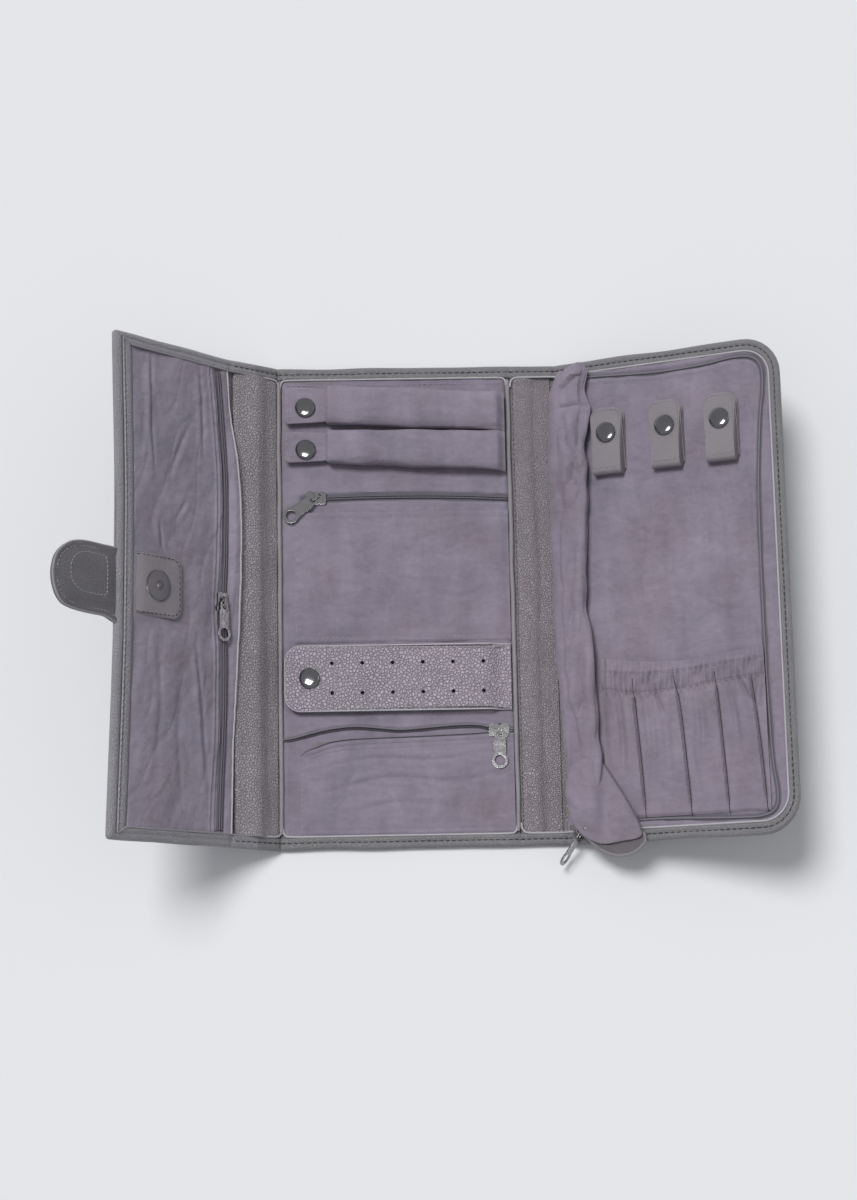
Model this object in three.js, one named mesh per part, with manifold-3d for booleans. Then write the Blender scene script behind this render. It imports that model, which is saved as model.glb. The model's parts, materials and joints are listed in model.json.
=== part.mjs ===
// A folding jewelry clutch, lying open: a flap, a spine, a centre panel, a second spine and a right panel,
// all of leather over board with a suede lining. Millimetres, +Z up. The origin is the centre of the centre
// panel's underside. Each panel is drawn flat: x runs away from its hinge, z up from its leather's underside.

import * as THREE from "three";
import { mergeVertices } from "three/addons/utils/BufferGeometryUtils.js";
import Module from "manifold-3d";

const wasm = await Module();
wasm.setup();

// Widths of the five leaves, from the left to the right
const HEIGHT = 240;
const FLAP_WIDTH = 72;
const SPINE_1_WIDTH = 30;
const CENTRE_WIDTH = 116;
const SPINE_2_WIDTH = 23;
const PANEL_WIDTH = 115;
const PANEL_CORNER = 18;

// Angle of each raised leaf to the table, in degrees, lying open and snapped shut
const SPINE_1_RISE = 39;
const FLAP_RISE = 46;
const PANEL_RISE = 24;
const SPINE_SHUT = 85;
const FLAP_SHUT = 179;

// Layers of a leaf and the clearance between two of them
const LEATHER = 1.2;
const BOARD = 1.0;
const LINING = 0.6;
const LIP = 1.1;
const SEAT = 0.3;

// Turned-in leather border, and how far a spine's inner layers stay away from its fold lines
const BORDER = 6.3;
const FLAP_EDGE_BORDER = 10;
const PANEL_EDGE_BORDER = 5;
const FOLD_CLEAR = 3.7;
const FLAP_FOLD_CLEAR = 5;
const PIPING_WIDTH = 2.0;
const PIPING_HEIGHT = 1.8;

// Zips: a toothed chain raised on its tape by an end stop, and a sleeve-like slider round the chain
const TAPE = 0.4;
const TAPE_WIDTH = 7.6;
const SLOT_CLEAR = 0.5;
const CHAIN = 0.8;
const CHAIN_WIDTH = 3.2;
const TOOTH_DEPTH = 0.35;
const TOOTH_PITCH = 3.2;
const STOP_LENGTH = 1.2;
const SLIDER_LENGTH = 10;
const SLIDER_WALL = 0.5;
const SLIDER_TAIL_WIDTH = 6.0;
const SLIDER_MOUTH_WIDTH = 7.4;
const BAIL_LENGTH = 5.6;
const BAIL_WIDTH = 1.4;
const BAIL_STRAP = 0.55;
const PULLER_THICKNESS = 0.8;
const PULLER_WIDTH = 6.2;
const PULLER_RING_REACH = 15;
const PULLER_RING_RADIUS = 4;
const PULLER_HOLE_RADIUS = 2.5;

// Snap fasteners: a stud on the base, and a socket, stem and domed cap through the moving tab
const STUD_RADIUS = 4.4;
const STUD_FLANGE = 0.6;
const STUD_POST_RADIUS = 1.7;
const STUD_POST = 1.0;
const SOCKET_HEIGHT = 1.5;
const SNAP_STEM_RADIUS = 1.2;
const CAP_RADIUS = 5;
const CAP_HEIGHT = 1.8;
const SNAP_SEGMENTS = 16;

// Ring bars
const BAR_WIDTH = 20;
const BAR_HEIGHT = 7.8;
const BAR_COVER = 0.8;
const BAR_SIDES = 16;
const BAR_PINCH = 0.6;
const BAR_INSETS_Y = [21.5, 43];
const BAR_INSET_X = 25;
const BAR_TAB_INSET_X = 3.8;
const BAR_SNAP_INSET_X = 14.2;

// Where the bars and the earring strap are sewn down, in from the centre panel's right edge
const SEWN_INSET_X = 4.4;

// Leather earring strap with two rows of holes
const STRAP_THICKNESS = 1.2;
const STRAP_WIDTH = 32;
const STRAP_INSET_X = 3.3;
const STRAP_INSET_Y = 82.6;
const STRAP_CORNER = 7.5;
const STRAP_SNAP_INSET_X = 15.1;
const HOLE_RADIUS = 0.85;
const HOLE_COLUMNS = 6;
const HOLE_FIRST_INSET_X = 26.1;
const HOLE_PITCH_X = 14.7;
const HOLE_PITCH_Y = 14.6;

// Centre panel zips and the flat pockets below them
const POCKET_SHEET = 0.8;
const POCKET_BELOW_ZIP = 7;
const POCKET_BELOW_LOWER_ZIP = 9.5;
const POCKET_OVER_STRAP = 1.9;
const UPPER_POCKET_INSET_X = 8;
const LOWER_POCKET_INSET_X = 10;
const UPPER_ZIP_INSET_Y = 67;
const UPPER_ZIP_INSET_X = 12;
const UPPER_SLIDER_INSET_X = 19;
const UPPER_PULLER_YAW = 215;
const LOWER_ZIP_INSET_Y = 56.5;
const LOWER_ZIP_INSET_X = 6;
const LOWER_SLIDER_INSET_X = 9.3;
const LOWER_PULLER_YAW = 270;

// Flap: zip along its fold, snap patch, magnetic disc and closure tab
const FLAP_ZIP_X = 6.2;
const FLAP_SLIDER_Y = 3;
const PATCH_LEFT_X = FLAP_WIDTH - 39.8;
const PATCH_HEIGHT = 30;
const PATCH_THICKNESS = 1.0;
const PATCH_CORNER = 4;
const MAGNET_X = FLAP_WIDTH - 24.4;
const MAGNET_RADIUS = 7.25;
const MAGNET_THICKNESS = 1.2;
const NUB_RADIUS = 2.0;
const NUB_HEIGHT = 1.2;
const RECEIVER_THICKNESS = 1.0;
const RECEIVER_HOLE_RADIUS = 2.5;
const TAB_REACH = 35;
const TAB_WIDTH = 33;
const TAB_Y = 1.3;
const TAB_THICKNESS = 2.4;
const TAB_ROOT = 1.0;
const TAB_ROOT_LENGTH = 10;
const TAB_CORNER = 15;

// Right panel: tape and half zip round three sides
const PANEL_TAPE_WIDTH = 7.7;
const PANEL_TAPE_SIDE_WIDTH = 5.2;
const PANEL_CHAIN_INSET_X = 10.5;
const PANEL_CHAIN_INSET_Y = 9.2;
const PANEL_CHAIN_CORNER = 8;
const PANEL_ZIP_TOP_START = 24;
const PANEL_ZIP_BOTTOM_START = 14.5;

// Necklace tabs: one strip each, folded at the bottom and snapped at the top
const TAB_CENTRES_X = [28.6, 58.5, 86];
const NECKLACE_WIDTH = 16.4;
const NECKLACE_INSET_Y = 27;
const NECKLACE_LENGTH = 33.5;
const NECKLACE_SNAP_INSET = 12.7;
const NECKLACE_CORNER = 4;
const NECKLACE_LEATHER = 1.2;

// Gathered elastic pocket with five pleated compartments, as shares of its width
const ELASTIC_FROM_ROLL = 2.4;
const ELASTIC_INSET_X = 14.3;
const ELASTIC_INSET_Y = 10.5;
const ELASTIC_HEIGHT = 76.5;
const ELASTIC_COLUMNS = 40;
const ELASTIC_ROWS = 7;
const ELASTIC_SHEET = 0.9;
const ELASTIC_BULGE = 3.0;
const PLEATS_AT_TOP = [0, 0.19, 0.455, 0.705, 0.885, 1];
const ELASTIC_CORNER = 3.2;
const PLEATS_AT_BOTTOM = [0, 0.225, 0.52, 0.765, 0.93, 1];

// Rolled suede lid with its loose corner
const ROLL_START_X = 3.6;
const ROLL_WIDTH = 16.4;
const ROLL_INSET_BOTTOM = 11.6;
const ROLL_INSET_TOP = 8;
const ROLL_HEIGHT = 8.8;
const ROLL_SHEET_STEP = 0.14;
const ROLL_STATIONS = 14;
const ROLL_SIDES = 20;
const CORNER_SHEET = 1.0;
const CORNER_ROWS = 14;
const CORNER_OVERHANG = 6.6;
const CORNER_LENGTH = 46.6;
const CORNER_REACH = 20.6;
const CORNER_RADIUS = 8;
const LID_SLIDER_X = 9;
const LID_SLIDER_INSET_Y = 7.8;
const LID_SLIDER_Z = 7.4;
const LID_PULLER_YAW = 235;

// Heights of the layers above the leather's underside
const BOARD_Z = LEATHER + SEAT;
const LINING_Z = BOARD_Z + BOARD + SEAT;
const LINING_TOP = LINING_Z + LINING;
const LIP_TOP = LINING_Z + LIP;
const ON_LINING = LINING_TOP + SEAT;
const SLEEVE_Z = BOARD_Z + TAPE + SEAT;
const CHAIN_Z = SLEEVE_Z + SLIDER_WALL + SEAT;
const SLEEVE_TOP = CHAIN_Z + CHAIN + SEAT + SLIDER_WALL;
const PULLER_AXIS = SEAT + PULLER_THICKNESS / 2;
const SOCKET_Z = STUD_FLANGE + SEAT;
const SNAP_TAB_Z = SOCKET_Z + SOCKET_HEIGHT + SEAT;
const HALF_HEIGHT = HEIGHT / 2;
const HALF_CENTRE = CENTRE_WIDTH / 2;
const SLIT = SEAT / 2;
const CENTRE_INNER_X = HALF_CENTRE - SLIT - PIPING_WIDTH - 2 * SEAT;
const SEWN_END_X = HALF_CENTRE - SEWN_INSET_X;
const STRAP_Y = STRAP_INSET_Y - HALF_HEIGHT;
const UPPER_ZIP_Y = HALF_HEIGHT - UPPER_ZIP_INSET_Y;
const LOWER_ZIP_Y = LOWER_ZIP_INSET_Y - HALF_HEIGHT;
const BAR_LEFT_X = BAR_INSET_X - HALF_CENTRE;
const ROLL_END_X = ROLL_START_X + ROLL_WIDTH;
const ROLL_BOTTOM_Y = ROLL_INSET_BOTTOM - HALF_HEIGHT;
const INNER_HALF_HEIGHT = HALF_HEIGHT - BORDER - SEAT;
const SLOT_WIDTH = TAPE_WIDTH + 2 * SLOT_CLEAR;

const deg = THREE.MathUtils.degToRad;
const lerp = THREE.MathUtils.lerp;

const FINISH = {
  leather: { color: 0x78767a, roughness: 0.62, metalness: 0 },
  suede: { color: 0x857d89, roughness: 0.95, metalness: 0 },
  board: { color: 0x9a8f80, roughness: 0.9, metalness: 0 },
  foam: { color: 0xd9d6cf, roughness: 1, metalness: 0 },
  zip: { color: 0x5f5a66, roughness: 0.6, metalness: 0 },
  gunmetal: { color: 0x4c4b50, roughness: 0.22, metalness: 1 },
  chrome: { color: 0xb9b9bd, roughness: 0.18, metalness: 1 },
};

// A closed geometry as a solid: only positions, shared corners merged, empty triangles dropped
function solidOf(geometry) {
  const bare = new THREE.BufferGeometry();
  bare.setAttribute("position", geometry.getAttribute("position").clone());
  if (geometry.index) bare.setIndex(geometry.index.clone());
  const merged = mergeVertices(bare, 1e-4);
  const corners = merged.index.array;
  const kept = [];
  for (let i = 0; i < corners.length; i += 3) {
    const [a, b, c] = [corners[i], corners[i + 1], corners[i + 2]];
    if (a !== b && b !== c && c !== a) kept.push(a, b, c);
  }
  return new wasm.Manifold(new wasm.Mesh({
    numProp: 3,
    vertProperties: new Float32Array(merged.getAttribute("position").array),
    triVerts: new Uint32Array(kept),
  }));
}

// A solid back as a geometry with flat faces
function geometryOf(solid) {
  const mesh = solid.getMesh();
  const geometry = new THREE.BufferGeometry();
  geometry.setAttribute("position", new THREE.BufferAttribute(mesh.vertProperties, mesh.numProp));
  geometry.setIndex(new THREE.BufferAttribute(mesh.triVerts, 1));
  const flat = geometry.toNonIndexed();
  flat.computeVertexNormals();
  return flat;
}

function block(x0, x1, y0, y1, z0, z1) {
  const box = new THREE.BoxGeometry(x1 - x0, y1 - y0, z1 - z0);
  box.translate((x0 + x1) / 2, (y0 + y1) / 2, (z0 + z1) / 2);
  return solidOf(box);
}

function slab(shape, z0, z1, curveSegments = 5) {
  const body = new THREE.ExtrudeGeometry(shape, { depth: z1 - z0, bevelEnabled: false, curveSegments });
  body.translate(0, 0, z0);
  return solidOf(body);
}

function rod(radius, x, y, z0, z1, segments = 12) {
  const cylinder = new THREE.CylinderGeometry(radius, radius, z1 - z0, segments);
  cylinder.rotateX(Math.PI / 2);
  cylinder.translate(x, y, (z0 + z1) / 2);
  return solidOf(cylinder);
}

// A profile of [radius, height] corners turned about the vertical through x, y
function turned(profile, x, y, z, segments = SNAP_SEGMENTS) {
  const points = profile.map(([radius, height]) => new THREE.Vector2(radius, height));
  const body = new THREE.LatheGeometry(points, segments);
  body.rotateX(Math.PI / 2);
  body.translate(x, y, z);
  return solidOf(body);
}

// A profile in x and z, drawn as [x, z] corners, run along y
function runAlongY(corners, y0, y1) {
  const shape = new THREE.Shape(corners.map(([x, z]) => new THREE.Vector2(x, z)));
  const body = new THREE.ExtrudeGeometry(shape, { depth: y1 - y0, bevelEnabled: false });
  body.rotateX(Math.PI / 2);
  body.translate(0, y1, 0);
  return solidOf(body);
}

function moved(solid, x, y, z, yaw = 0) {
  return solid.rotate([0, 0, yaw]).translate([x, y, z]);
}

// A body through closed rings of equally many corners, each end closed by a fan. The rings are listed
// along the axis round which their corners turn anticlockwise.
function loft(rings) {
  const count = rings[0].length;
  const positions = rings.flat(2);
  const index = [];
  for (let r = 0; r + 1 < rings.length; r += 1) {
    for (let k = 0; k < count; k += 1) {
      const a = r * count + k;
      const b = r * count + (k + 1) % count;
      index.push(a, b, b + count, a, b + count, a + count);
    }
  }
  for (const [ring, start] of [[rings[0], 0], [rings.at(-1), (rings.length - 1) * count]]) {
    const centre = positions.length / 3;
    for (const axis of [0, 1, 2]) positions.push(ring.reduce((sum, p) => sum + p[axis], 0) / count);
    for (let k = 0; k < count; k += 1) {
      const next = (k + 1) % count;
      if (start === 0) index.push(centre, start + next, start + k);
      else index.push(centre, start + k, start + next);
    }
  }
  const geometry = new THREE.BufferGeometry();
  geometry.setAttribute("position", new THREE.Float32BufferAttribute(positions, 3));
  geometry.setIndex(index);
  return solidOf(geometry);
}

// A sheet of even thickness over a grid: surface(s, t) gives its underside at s across and t along
function sheet(surface, thickness, across, along) {
  const rings = [];
  for (let j = 0; j <= along; j += 1) {
    const under = [];
    const over = [];
    for (let i = 0; i <= across; i += 1) {
      const [x, y, z] = surface(i / across, j / along);
      under.push([x, y, z]);
      over.unshift([x, y, z + thickness]);
    }
    rings.push([...under, ...over]);
  }
  return stripLoft(rings, across);
}

// The loft of flat, wide rings, whose ends are closed by strips instead of fans
function stripLoft(rings, across) {
  const count = rings[0].length;
  const index = [];
  for (let r = 0; r + 1 < rings.length; r += 1) {
    for (let k = 0; k < count; k += 1) {
      const a = r * count + k;
      const b = r * count + (k + 1) % count;
      index.push(a, a + count, b + count, a, b + count, b);
    }
  }
  const last = (rings.length - 1) * count;
  for (let i = 0; i < across; i += 1) {
    const [a, b, c, d] = [i, i + 1, count - 2 - i, count - 1 - i];
    index.push(a, b, c, a, c, d);
    index.push(last + a, last + c, last + b, last + a, last + d, last + c);
  }
  const geometry = new THREE.BufferGeometry();
  geometry.setAttribute("position", new THREE.Float32BufferAttribute(rings.flat(2), 3));
  geometry.setIndex(index);
  return solidOf(geometry);
}

function addPiece(parent, name, solid, finish) {
  const piece = new THREE.Mesh(geometryOf(solid), new THREE.MeshStandardMaterial(FINISH[finish]));
  piece.name = name;
  parent.add(piece);
  return piece;
}

// Outline of a leaf from x0 to x1, with its far corners rounded
function leafOutline(x0, x1, halfHeight, radius = 0) {
  const shape = new THREE.Shape();
  shape.moveTo(x0, -halfHeight);
  shape.lineTo(x1 - radius, -halfHeight);
  if (radius > 0) shape.absarc(x1 - radius, radius - halfHeight, radius, -Math.PI / 2, 0, false);
  shape.lineTo(x1, halfHeight - radius);
  if (radius > 0) shape.absarc(x1 - radius, halfHeight - radius, radius, 0, Math.PI / 2, false);
  shape.lineTo(x0, halfHeight);
  return shape;
}

// Outer leather of a leaf: a plate whose edges turn up and in over the lining as a border.
// openEnd leaves the far end without a border, as at a fold line.
function leatherShell({ x0, x1, radius = 0, edgeBorder = BORDER, openEnd = false }) {
  const wallEnd = openEnd ? x1 + 1 : x1 - LEATHER;
  const windowEnd = openEnd ? x1 + 1 : x1 - edgeBorder;
  const innerRadius = Math.max(radius - LEATHER, 0);
  const windowRadius = Math.max(radius - edgeBorder, 0);
  const full = slab(leafOutline(x0, x1, HALF_HEIGHT, radius), 0, LIP_TOP);
  const cavity = slab(leafOutline(x0 - 1, wallEnd, HALF_HEIGHT - LEATHER, innerRadius), LEATHER, LINING_Z);
  const opening = slab(
    leafOutline(x0 - 1, windowEnd, HALF_HEIGHT - BORDER, windowRadius), LEATHER, LIP_TOP + 1);
  return full.subtract(cavity).subtract(opening);
}

// Room at a fold line for the turned-up edges of a leaf that folds past a right angle
function wallRelief() {
  return block(0, 2 * SEAT, -HALF_HEIGHT - 1, HALF_HEIGHT + 1, LEATHER, LIP_TOP + 1);
}

// Slot through board and lining for a zip along x, or along y when turned
function zipSlot(start, end, line, alongY = false) {
  const [near, far] = [line - SLOT_WIDTH / 2, line + SLOT_WIDTH / 2];
  if (alongY) return block(near, far, start, end, BOARD_Z - 1, LIP_TOP + 1);
  return block(start, end, near, far, BOARD_Z - 1, LIP_TOP + 1);
}

// Zip along x from 0: tape, end stops and the toothed chain above the tape, as one bought part
function zipStrip(length) {
  const half = CHAIN_WIDTH / 2;
  const teeth = Math.round((length - 2 * STOP_LENGTH) / TOOTH_PITCH);
  const pitch = (length - STOP_LENGTH) / teeth;
  const edge = (side) => Array.from({ length: 2 * teeth + 1 }, (_, i) => new THREE.Vector2(
    STOP_LENGTH / 2 + i * pitch / 2, side * (half - (i % 2) * TOOTH_DEPTH)));
  const chain = new THREE.Shape([...edge(-1), ...edge(1).reverse()]);
  return block(0, length, -TAPE_WIDTH / 2, TAPE_WIDTH / 2, BOARD_Z, BOARD_Z + TAPE)
    .add(slab(chain, CHAIN_Z, CHAIN_Z + CHAIN))
    .add(block(0, STOP_LENGTH, -half, half, BOARD_Z, CHAIN_Z + CHAIN))
    .add(block(length - STOP_LENGTH, length, -half, half, BOARD_Z, CHAIN_Z + CHAIN));
}

// Zip slider along x, its tail at -x: a shouldered body with a channel for the chain, and a bail on top
function zipSlider(bailYaw) {
  const tail = SLIDER_TAIL_WIDTH / 2;
  const mouth = SLIDER_MOUTH_WIDTH / 2;
  const end = SLIDER_LENGTH / 2;
  const outline = new THREE.Shape();
  outline.moveTo(-end, -tail + SLIDER_WALL);
  outline.lineTo(-end + SLIDER_WALL, -tail);
  outline.lineTo(-end / 5, -tail);
  outline.quadraticCurveTo(end / 4, -tail, end / 2, -mouth);
  outline.quadraticCurveTo(end, -mouth, end, -tail / 2);
  outline.lineTo(end, tail / 2);
  outline.quadraticCurveTo(end, mouth, end / 2, mouth);
  outline.quadraticCurveTo(end / 4, tail, -end / 5, tail);
  outline.lineTo(-end + SLIDER_WALL, tail);
  outline.lineTo(-end, tail - SLIDER_WALL);
  const channel = CHAIN_WIDTH / 2 + SEAT + SEAT;
  return slab(outline, SLEEVE_Z, SLEEVE_TOP, 3)
    .subtract(block(-end - 1, end + 1, -channel, channel, CHAIN_Z - SEAT, CHAIN_Z + CHAIN + SEAT))
    .add(bail().rotate([0, 0, bailYaw]).translate([0, 0, SLEEVE_TOP]));
}

// The arched bail that holds a puller, standing on z = 0 and running along x
function bail() {
  const outer = BAIL_LENGTH / 2;
  const inner = outer - BAIL_STRAP;
  const clear = 2 * PULLER_AXIS;
  const top = clear + BAIL_STRAP;
  const chamfer = BAIL_STRAP + 0.2;
  const sunk = -SLIDER_WALL / 2;
  return runAlongY([
    [-outer, sunk], [-inner, sunk], [-inner, clear - chamfer], [chamfer - inner, clear],
    [inner - chamfer, clear], [inner, clear - chamfer], [inner, sunk], [outer, sunk],
    [outer, top - chamfer], [outer - chamfer, top], [chamfer - outer, top], [-outer, top - chamfer],
  ], -BAIL_WIDTH / 2, BAIL_WIDTH / 2);
}

// Puller hanging on the y axis and reaching along x: a plate with an eye, ending in a ring
function zipPuller() {
  const half = PULLER_THICKNESS / 2;
  const arm = 2.4;
  const eyeEnd = BAIL_LENGTH / 2 + 2 * SEAT;
  const eye = BAIL_WIDTH / 2 + 1.5 * SEAT;
  const wide = PULLER_WIDTH / 2;
  const plate = new THREE.Shape([
    [0, -arm], [eyeEnd, -arm], [eyeEnd + 1, -wide], [PULLER_RING_REACH - 2, -wide],
    [PULLER_RING_REACH - 2, wide], [eyeEnd + 1, wide], [eyeEnd, arm], [0, arm],
  ].map(([x, y]) => new THREE.Vector2(x, y)));
  const pin = new THREE.CylinderGeometry(half, half, 2 * arm, 8);
  return slab(plate, -half, half)
    .add(rod(PULLER_RING_RADIUS, PULLER_RING_REACH, 0, -half, half, 20))
    .subtract(rod(PULLER_HOLE_RADIUS, PULLER_RING_REACH, 0, -1, 1, 16))
    .subtract(block(half, eyeEnd, -eye, eye, -1, 1))
    .add(solidOf(pin));
}

function snapStud(x, y, z) {
  return turned([
    [0, 0], [STUD_RADIUS, 0], [STUD_RADIUS, STUD_FLANGE], [STUD_POST_RADIUS, STUD_FLANGE],
    [STUD_POST_RADIUS, STUD_FLANGE + STUD_POST], [0, STUD_FLANGE + STUD_POST],
  ], x, y, z);
}

// Socket under a tab, stem through its hole and domed cap over it; z is the stud's base
function snapCap(x, y, z, tabThickness) {
  const recess = STUD_POST_RADIUS + SEAT;
  const shoulder = SOCKET_HEIGHT + SEAT + tabThickness + SEAT;
  const dome = Array.from({ length: 5 }, (_, i) => {
    const angle = i * Math.PI / 8;
    return [CAP_RADIUS * Math.cos(angle), shoulder + 0.4 + (CAP_HEIGHT - 0.4) * Math.sin(angle)];
  });
  dome[4][0] = 0;
  return turned([
    [0, STUD_POST], [recess, STUD_POST], [recess, 0], [STUD_RADIUS, 0],
    [STUD_RADIUS, SOCKET_HEIGHT - 0.5], [STUD_RADIUS - 0.8, SOCKET_HEIGHT],
    [SNAP_STEM_RADIUS, SOCKET_HEIGHT], [SNAP_STEM_RADIUS, shoulder], [CAP_RADIUS, shoulder],
    ...dome,
  ], x, y, z + SOCKET_Z);
}

function snapHole(x, y, z0, z1) {
  return rod(SNAP_STEM_RADIUS + SEAT, x, y, z0 - 1, z1 + 1);
}

// Leaf frame: a pivot on the fold line, level with the leather's inner face, and the leaf drawn from it.
// A leaf to the left is turned half round, so that its x still runs away from the fold.
function leaf(parent, foldX, turn, toLeft) {
  const pivot = new THREE.Group();
  pivot.position.set(foldX, 0, 0);
  pivot.rotation.y = deg(toLeft ? turn : -turn);
  parent.add(pivot);
  const body = new THREE.Group();
  body.position.z = -LEATHER;
  body.rotation.z = toLeft ? Math.PI : 0;
  pivot.add(body);
  return { pivot, body };
}

function centrePanel(parent) {
  const edge = HALF_CENTRE - SLIT;
  const slotEnd = CENTRE_INNER_X + SLOT_CLEAR;
  const slots = zipSlot(UPPER_ZIP_INSET_X - HALF_CENTRE, slotEnd, UPPER_ZIP_Y)
    .add(zipSlot(LOWER_ZIP_INSET_X - HALF_CENTRE, slotEnd, LOWER_ZIP_Y));
  addPiece(parent, "centre_leather", leatherShell({ x0: -edge, x1: edge, openEnd: true }), "leather");
  const board = slab(leafOutline(SEAT - edge, edge - SEAT, HALF_HEIGHT - LEATHER - SEAT),
    BOARD_Z, BOARD_Z + BOARD);
  addPiece(parent, "centre_board", board.subtract(slots), "board");
  const lining = slab(leafOutline(-CENTRE_INNER_X, CENTRE_INNER_X, INNER_HALF_HEIGHT), LINING_Z, LINING_TOP);
  addPiece(parent, "centre_lining", lining.subtract(slots), "suede");

  const pipingTop = LINING_Z + PIPING_HEIGHT;
  for (const [name, side] of [["left", -1], ["right", 1]]) {
    const outer = side * edge;
    const inner = side * (edge - PIPING_WIDTH);
    const [lo, hi] = [Math.min(outer, inner), Math.max(outer, inner)];
    const crown = 0.6;
    const piping = runAlongY([
      [lo, LINING_Z], [hi, LINING_Z], [hi, pipingTop - crown], [hi - crown, pipingTop],
      [lo + crown, pipingTop], [lo, pipingTop - crown],
    ], -INNER_HALF_HEIGHT, INNER_HALF_HEIGHT);
    addPiece(parent, `centre_piping_${name}`, piping, "leather");
  }
}

// Padded ring bar: a sewn suede tube, open at its left end, pinched flat where it is sewn on the right
function ringBar(parent, number, y) {
  const half = BAR_HEIGHT / 2;
  const wide = BAR_WIDTH / 2;
  const tongue = STRAP_THICKNESS / 2;
  const tongueWide = wide - 1.5 * BAR_PINCH;
  const stations = [
    [BAR_LEFT_X, half - BAR_PINCH, wide - BAR_PINCH], [BAR_LEFT_X + half, half, wide],
    [lerp(BAR_LEFT_X, SEWN_END_X, 0.5), half, wide - BAR_PINCH / 2],
    [SEWN_END_X - 2 * half, half, wide], [SEWN_END_X - 1.3 * half, half * 0.6, wide - BAR_PINCH / 2],
    [SEWN_END_X - 0.7 * half, tongue * 1.3, wide - BAR_PINCH], [SEWN_END_X, tongue, tongueWide],
  ];
  const ring = (x, height, width, inset) => Array.from({ length: BAR_SIDES }, (_, k) => {
    const angle = 2 * Math.PI * k / BAR_SIDES;
    const round = (value) => Math.sign(value) * Math.abs(value) ** 0.75;
    return [x, y + (width - inset) * round(Math.cos(angle)),
      ON_LINING + height + (height - inset) * round(Math.sin(angle))];
  });
  const coreEnd = SEWN_END_X - 2.2 * half;
  const cavity = loft([
    ring(BAR_LEFT_X - 1, half - BAR_PINCH, wide - BAR_PINCH, BAR_COVER),
    ring(BAR_LEFT_X + half, half, wide - BAR_PINCH / 2, BAR_COVER),
    ring(coreEnd, half, wide - BAR_PINCH / 2, BAR_COVER),
  ]);
  const core = loft([
    ring(BAR_LEFT_X + half, half, wide - BAR_PINCH / 2, BAR_COVER + SEAT),
    ring(coreEnd - SEAT, half, wide - BAR_PINCH / 2, BAR_COVER + SEAT),
  ]);
  const tabLeft = BAR_TAB_INSET_X - HALF_CENTRE;
  const snapX = BAR_SNAP_INSET_X - HALF_CENTRE;
  const tabZ = ON_LINING + SNAP_TAB_Z;
  const tab = new THREE.Shape([
    [tabLeft + 2, -wide], [BAR_LEFT_X + 1, BAR_PINCH - wide], [BAR_LEFT_X + 1, wide - BAR_PINCH],
    [tabLeft + 2, wide], [tabLeft, wide - 2], [tabLeft, 2 - wide],
  ].map(([x, dy]) => new THREE.Vector2(x, y + dy)));
  const cover = loft(stations.map(([x, height, width]) => ring(x, height, width, 0))).subtract(cavity)
    .add(slab(tab, tabZ, tabZ + STRAP_THICKNESS))
    .subtract(snapHole(snapX, y, tabZ, tabZ + STRAP_THICKNESS));
  addPiece(parent, `ring_bar_cover_${number}`, cover, "suede");
  addPiece(parent, `ring_bar_core_${number}`, core, "foam");
  addPiece(parent, `ring_bar_snap_cap_${number}`, snapCap(snapX, y, ON_LINING, STRAP_THICKNESS),
    "gunmetal");
  addPiece(parent, `ring_bar_snap_stud_${number}`, snapStud(snapX, y, ON_LINING), "gunmetal");
}

// Leather strap with holes for earrings, snapped on the left and bent down to its seam on the right
function earringStrap(parent) {
  const z0 = ON_LINING + SNAP_TAB_Z;
  const z1 = z0 + STRAP_THICKNESS;
  const foot = ON_LINING + STRAP_THICKNESS;
  const [low, high] = [STRAP_Y - STRAP_WIDTH / 2, STRAP_Y + STRAP_WIDTH / 2];
  const left = STRAP_INSET_X - HALF_CENTRE;
  const snapX = STRAP_SNAP_INSET_X - HALF_CENTRE;
  const bend = 9.5;
  const profile = runAlongY([
    [left, z0], [SEWN_END_X - bend, z0], [SEWN_END_X - 4, ON_LINING], [SEWN_END_X, ON_LINING],
    [SEWN_END_X, foot], [SEWN_END_X - 3.4, foot], [SEWN_END_X - bend + 0.6, z1], [left, z1],
  ], low, high);
  const outline = new THREE.Shape();
  outline.moveTo(SEWN_END_X + 1, low);
  outline.lineTo(SEWN_END_X + 1, high);
  outline.lineTo(left + STRAP_CORNER, high);
  outline.absarc(left + STRAP_CORNER, high - STRAP_CORNER, STRAP_CORNER, Math.PI / 2, Math.PI, false);
  outline.lineTo(left, low + STRAP_CORNER);
  outline.absarc(left + STRAP_CORNER, low + STRAP_CORNER, STRAP_CORNER, Math.PI, 1.5 * Math.PI, false);
  let strap = profile.intersect(slab(outline, ON_LINING - 1, z1 + 1))
    .subtract(snapHole(snapX, STRAP_Y, z0, z1));
  for (let column = 0; column < HOLE_COLUMNS; column += 1) {
    for (const row of [-0.5, 0.5]) {
      const x = HOLE_FIRST_INSET_X - HALF_CENTRE + column * HOLE_PITCH_X;
      strap = strap.subtract(rod(HOLE_RADIUS, x, STRAP_Y + row * HOLE_PITCH_Y, z0 - 1, z1 + 1, 8));
    }
  }
  addPiece(parent, "earring_strap", strap, "leather");
  addPiece(parent, "earring_snap_cap", snapCap(snapX, STRAP_Y, ON_LINING, STRAP_THICKNESS),
    "gunmetal");
  addPiece(parent, "earring_snap_stud", snapStud(snapX, STRAP_Y, ON_LINING), "gunmetal");
}

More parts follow.
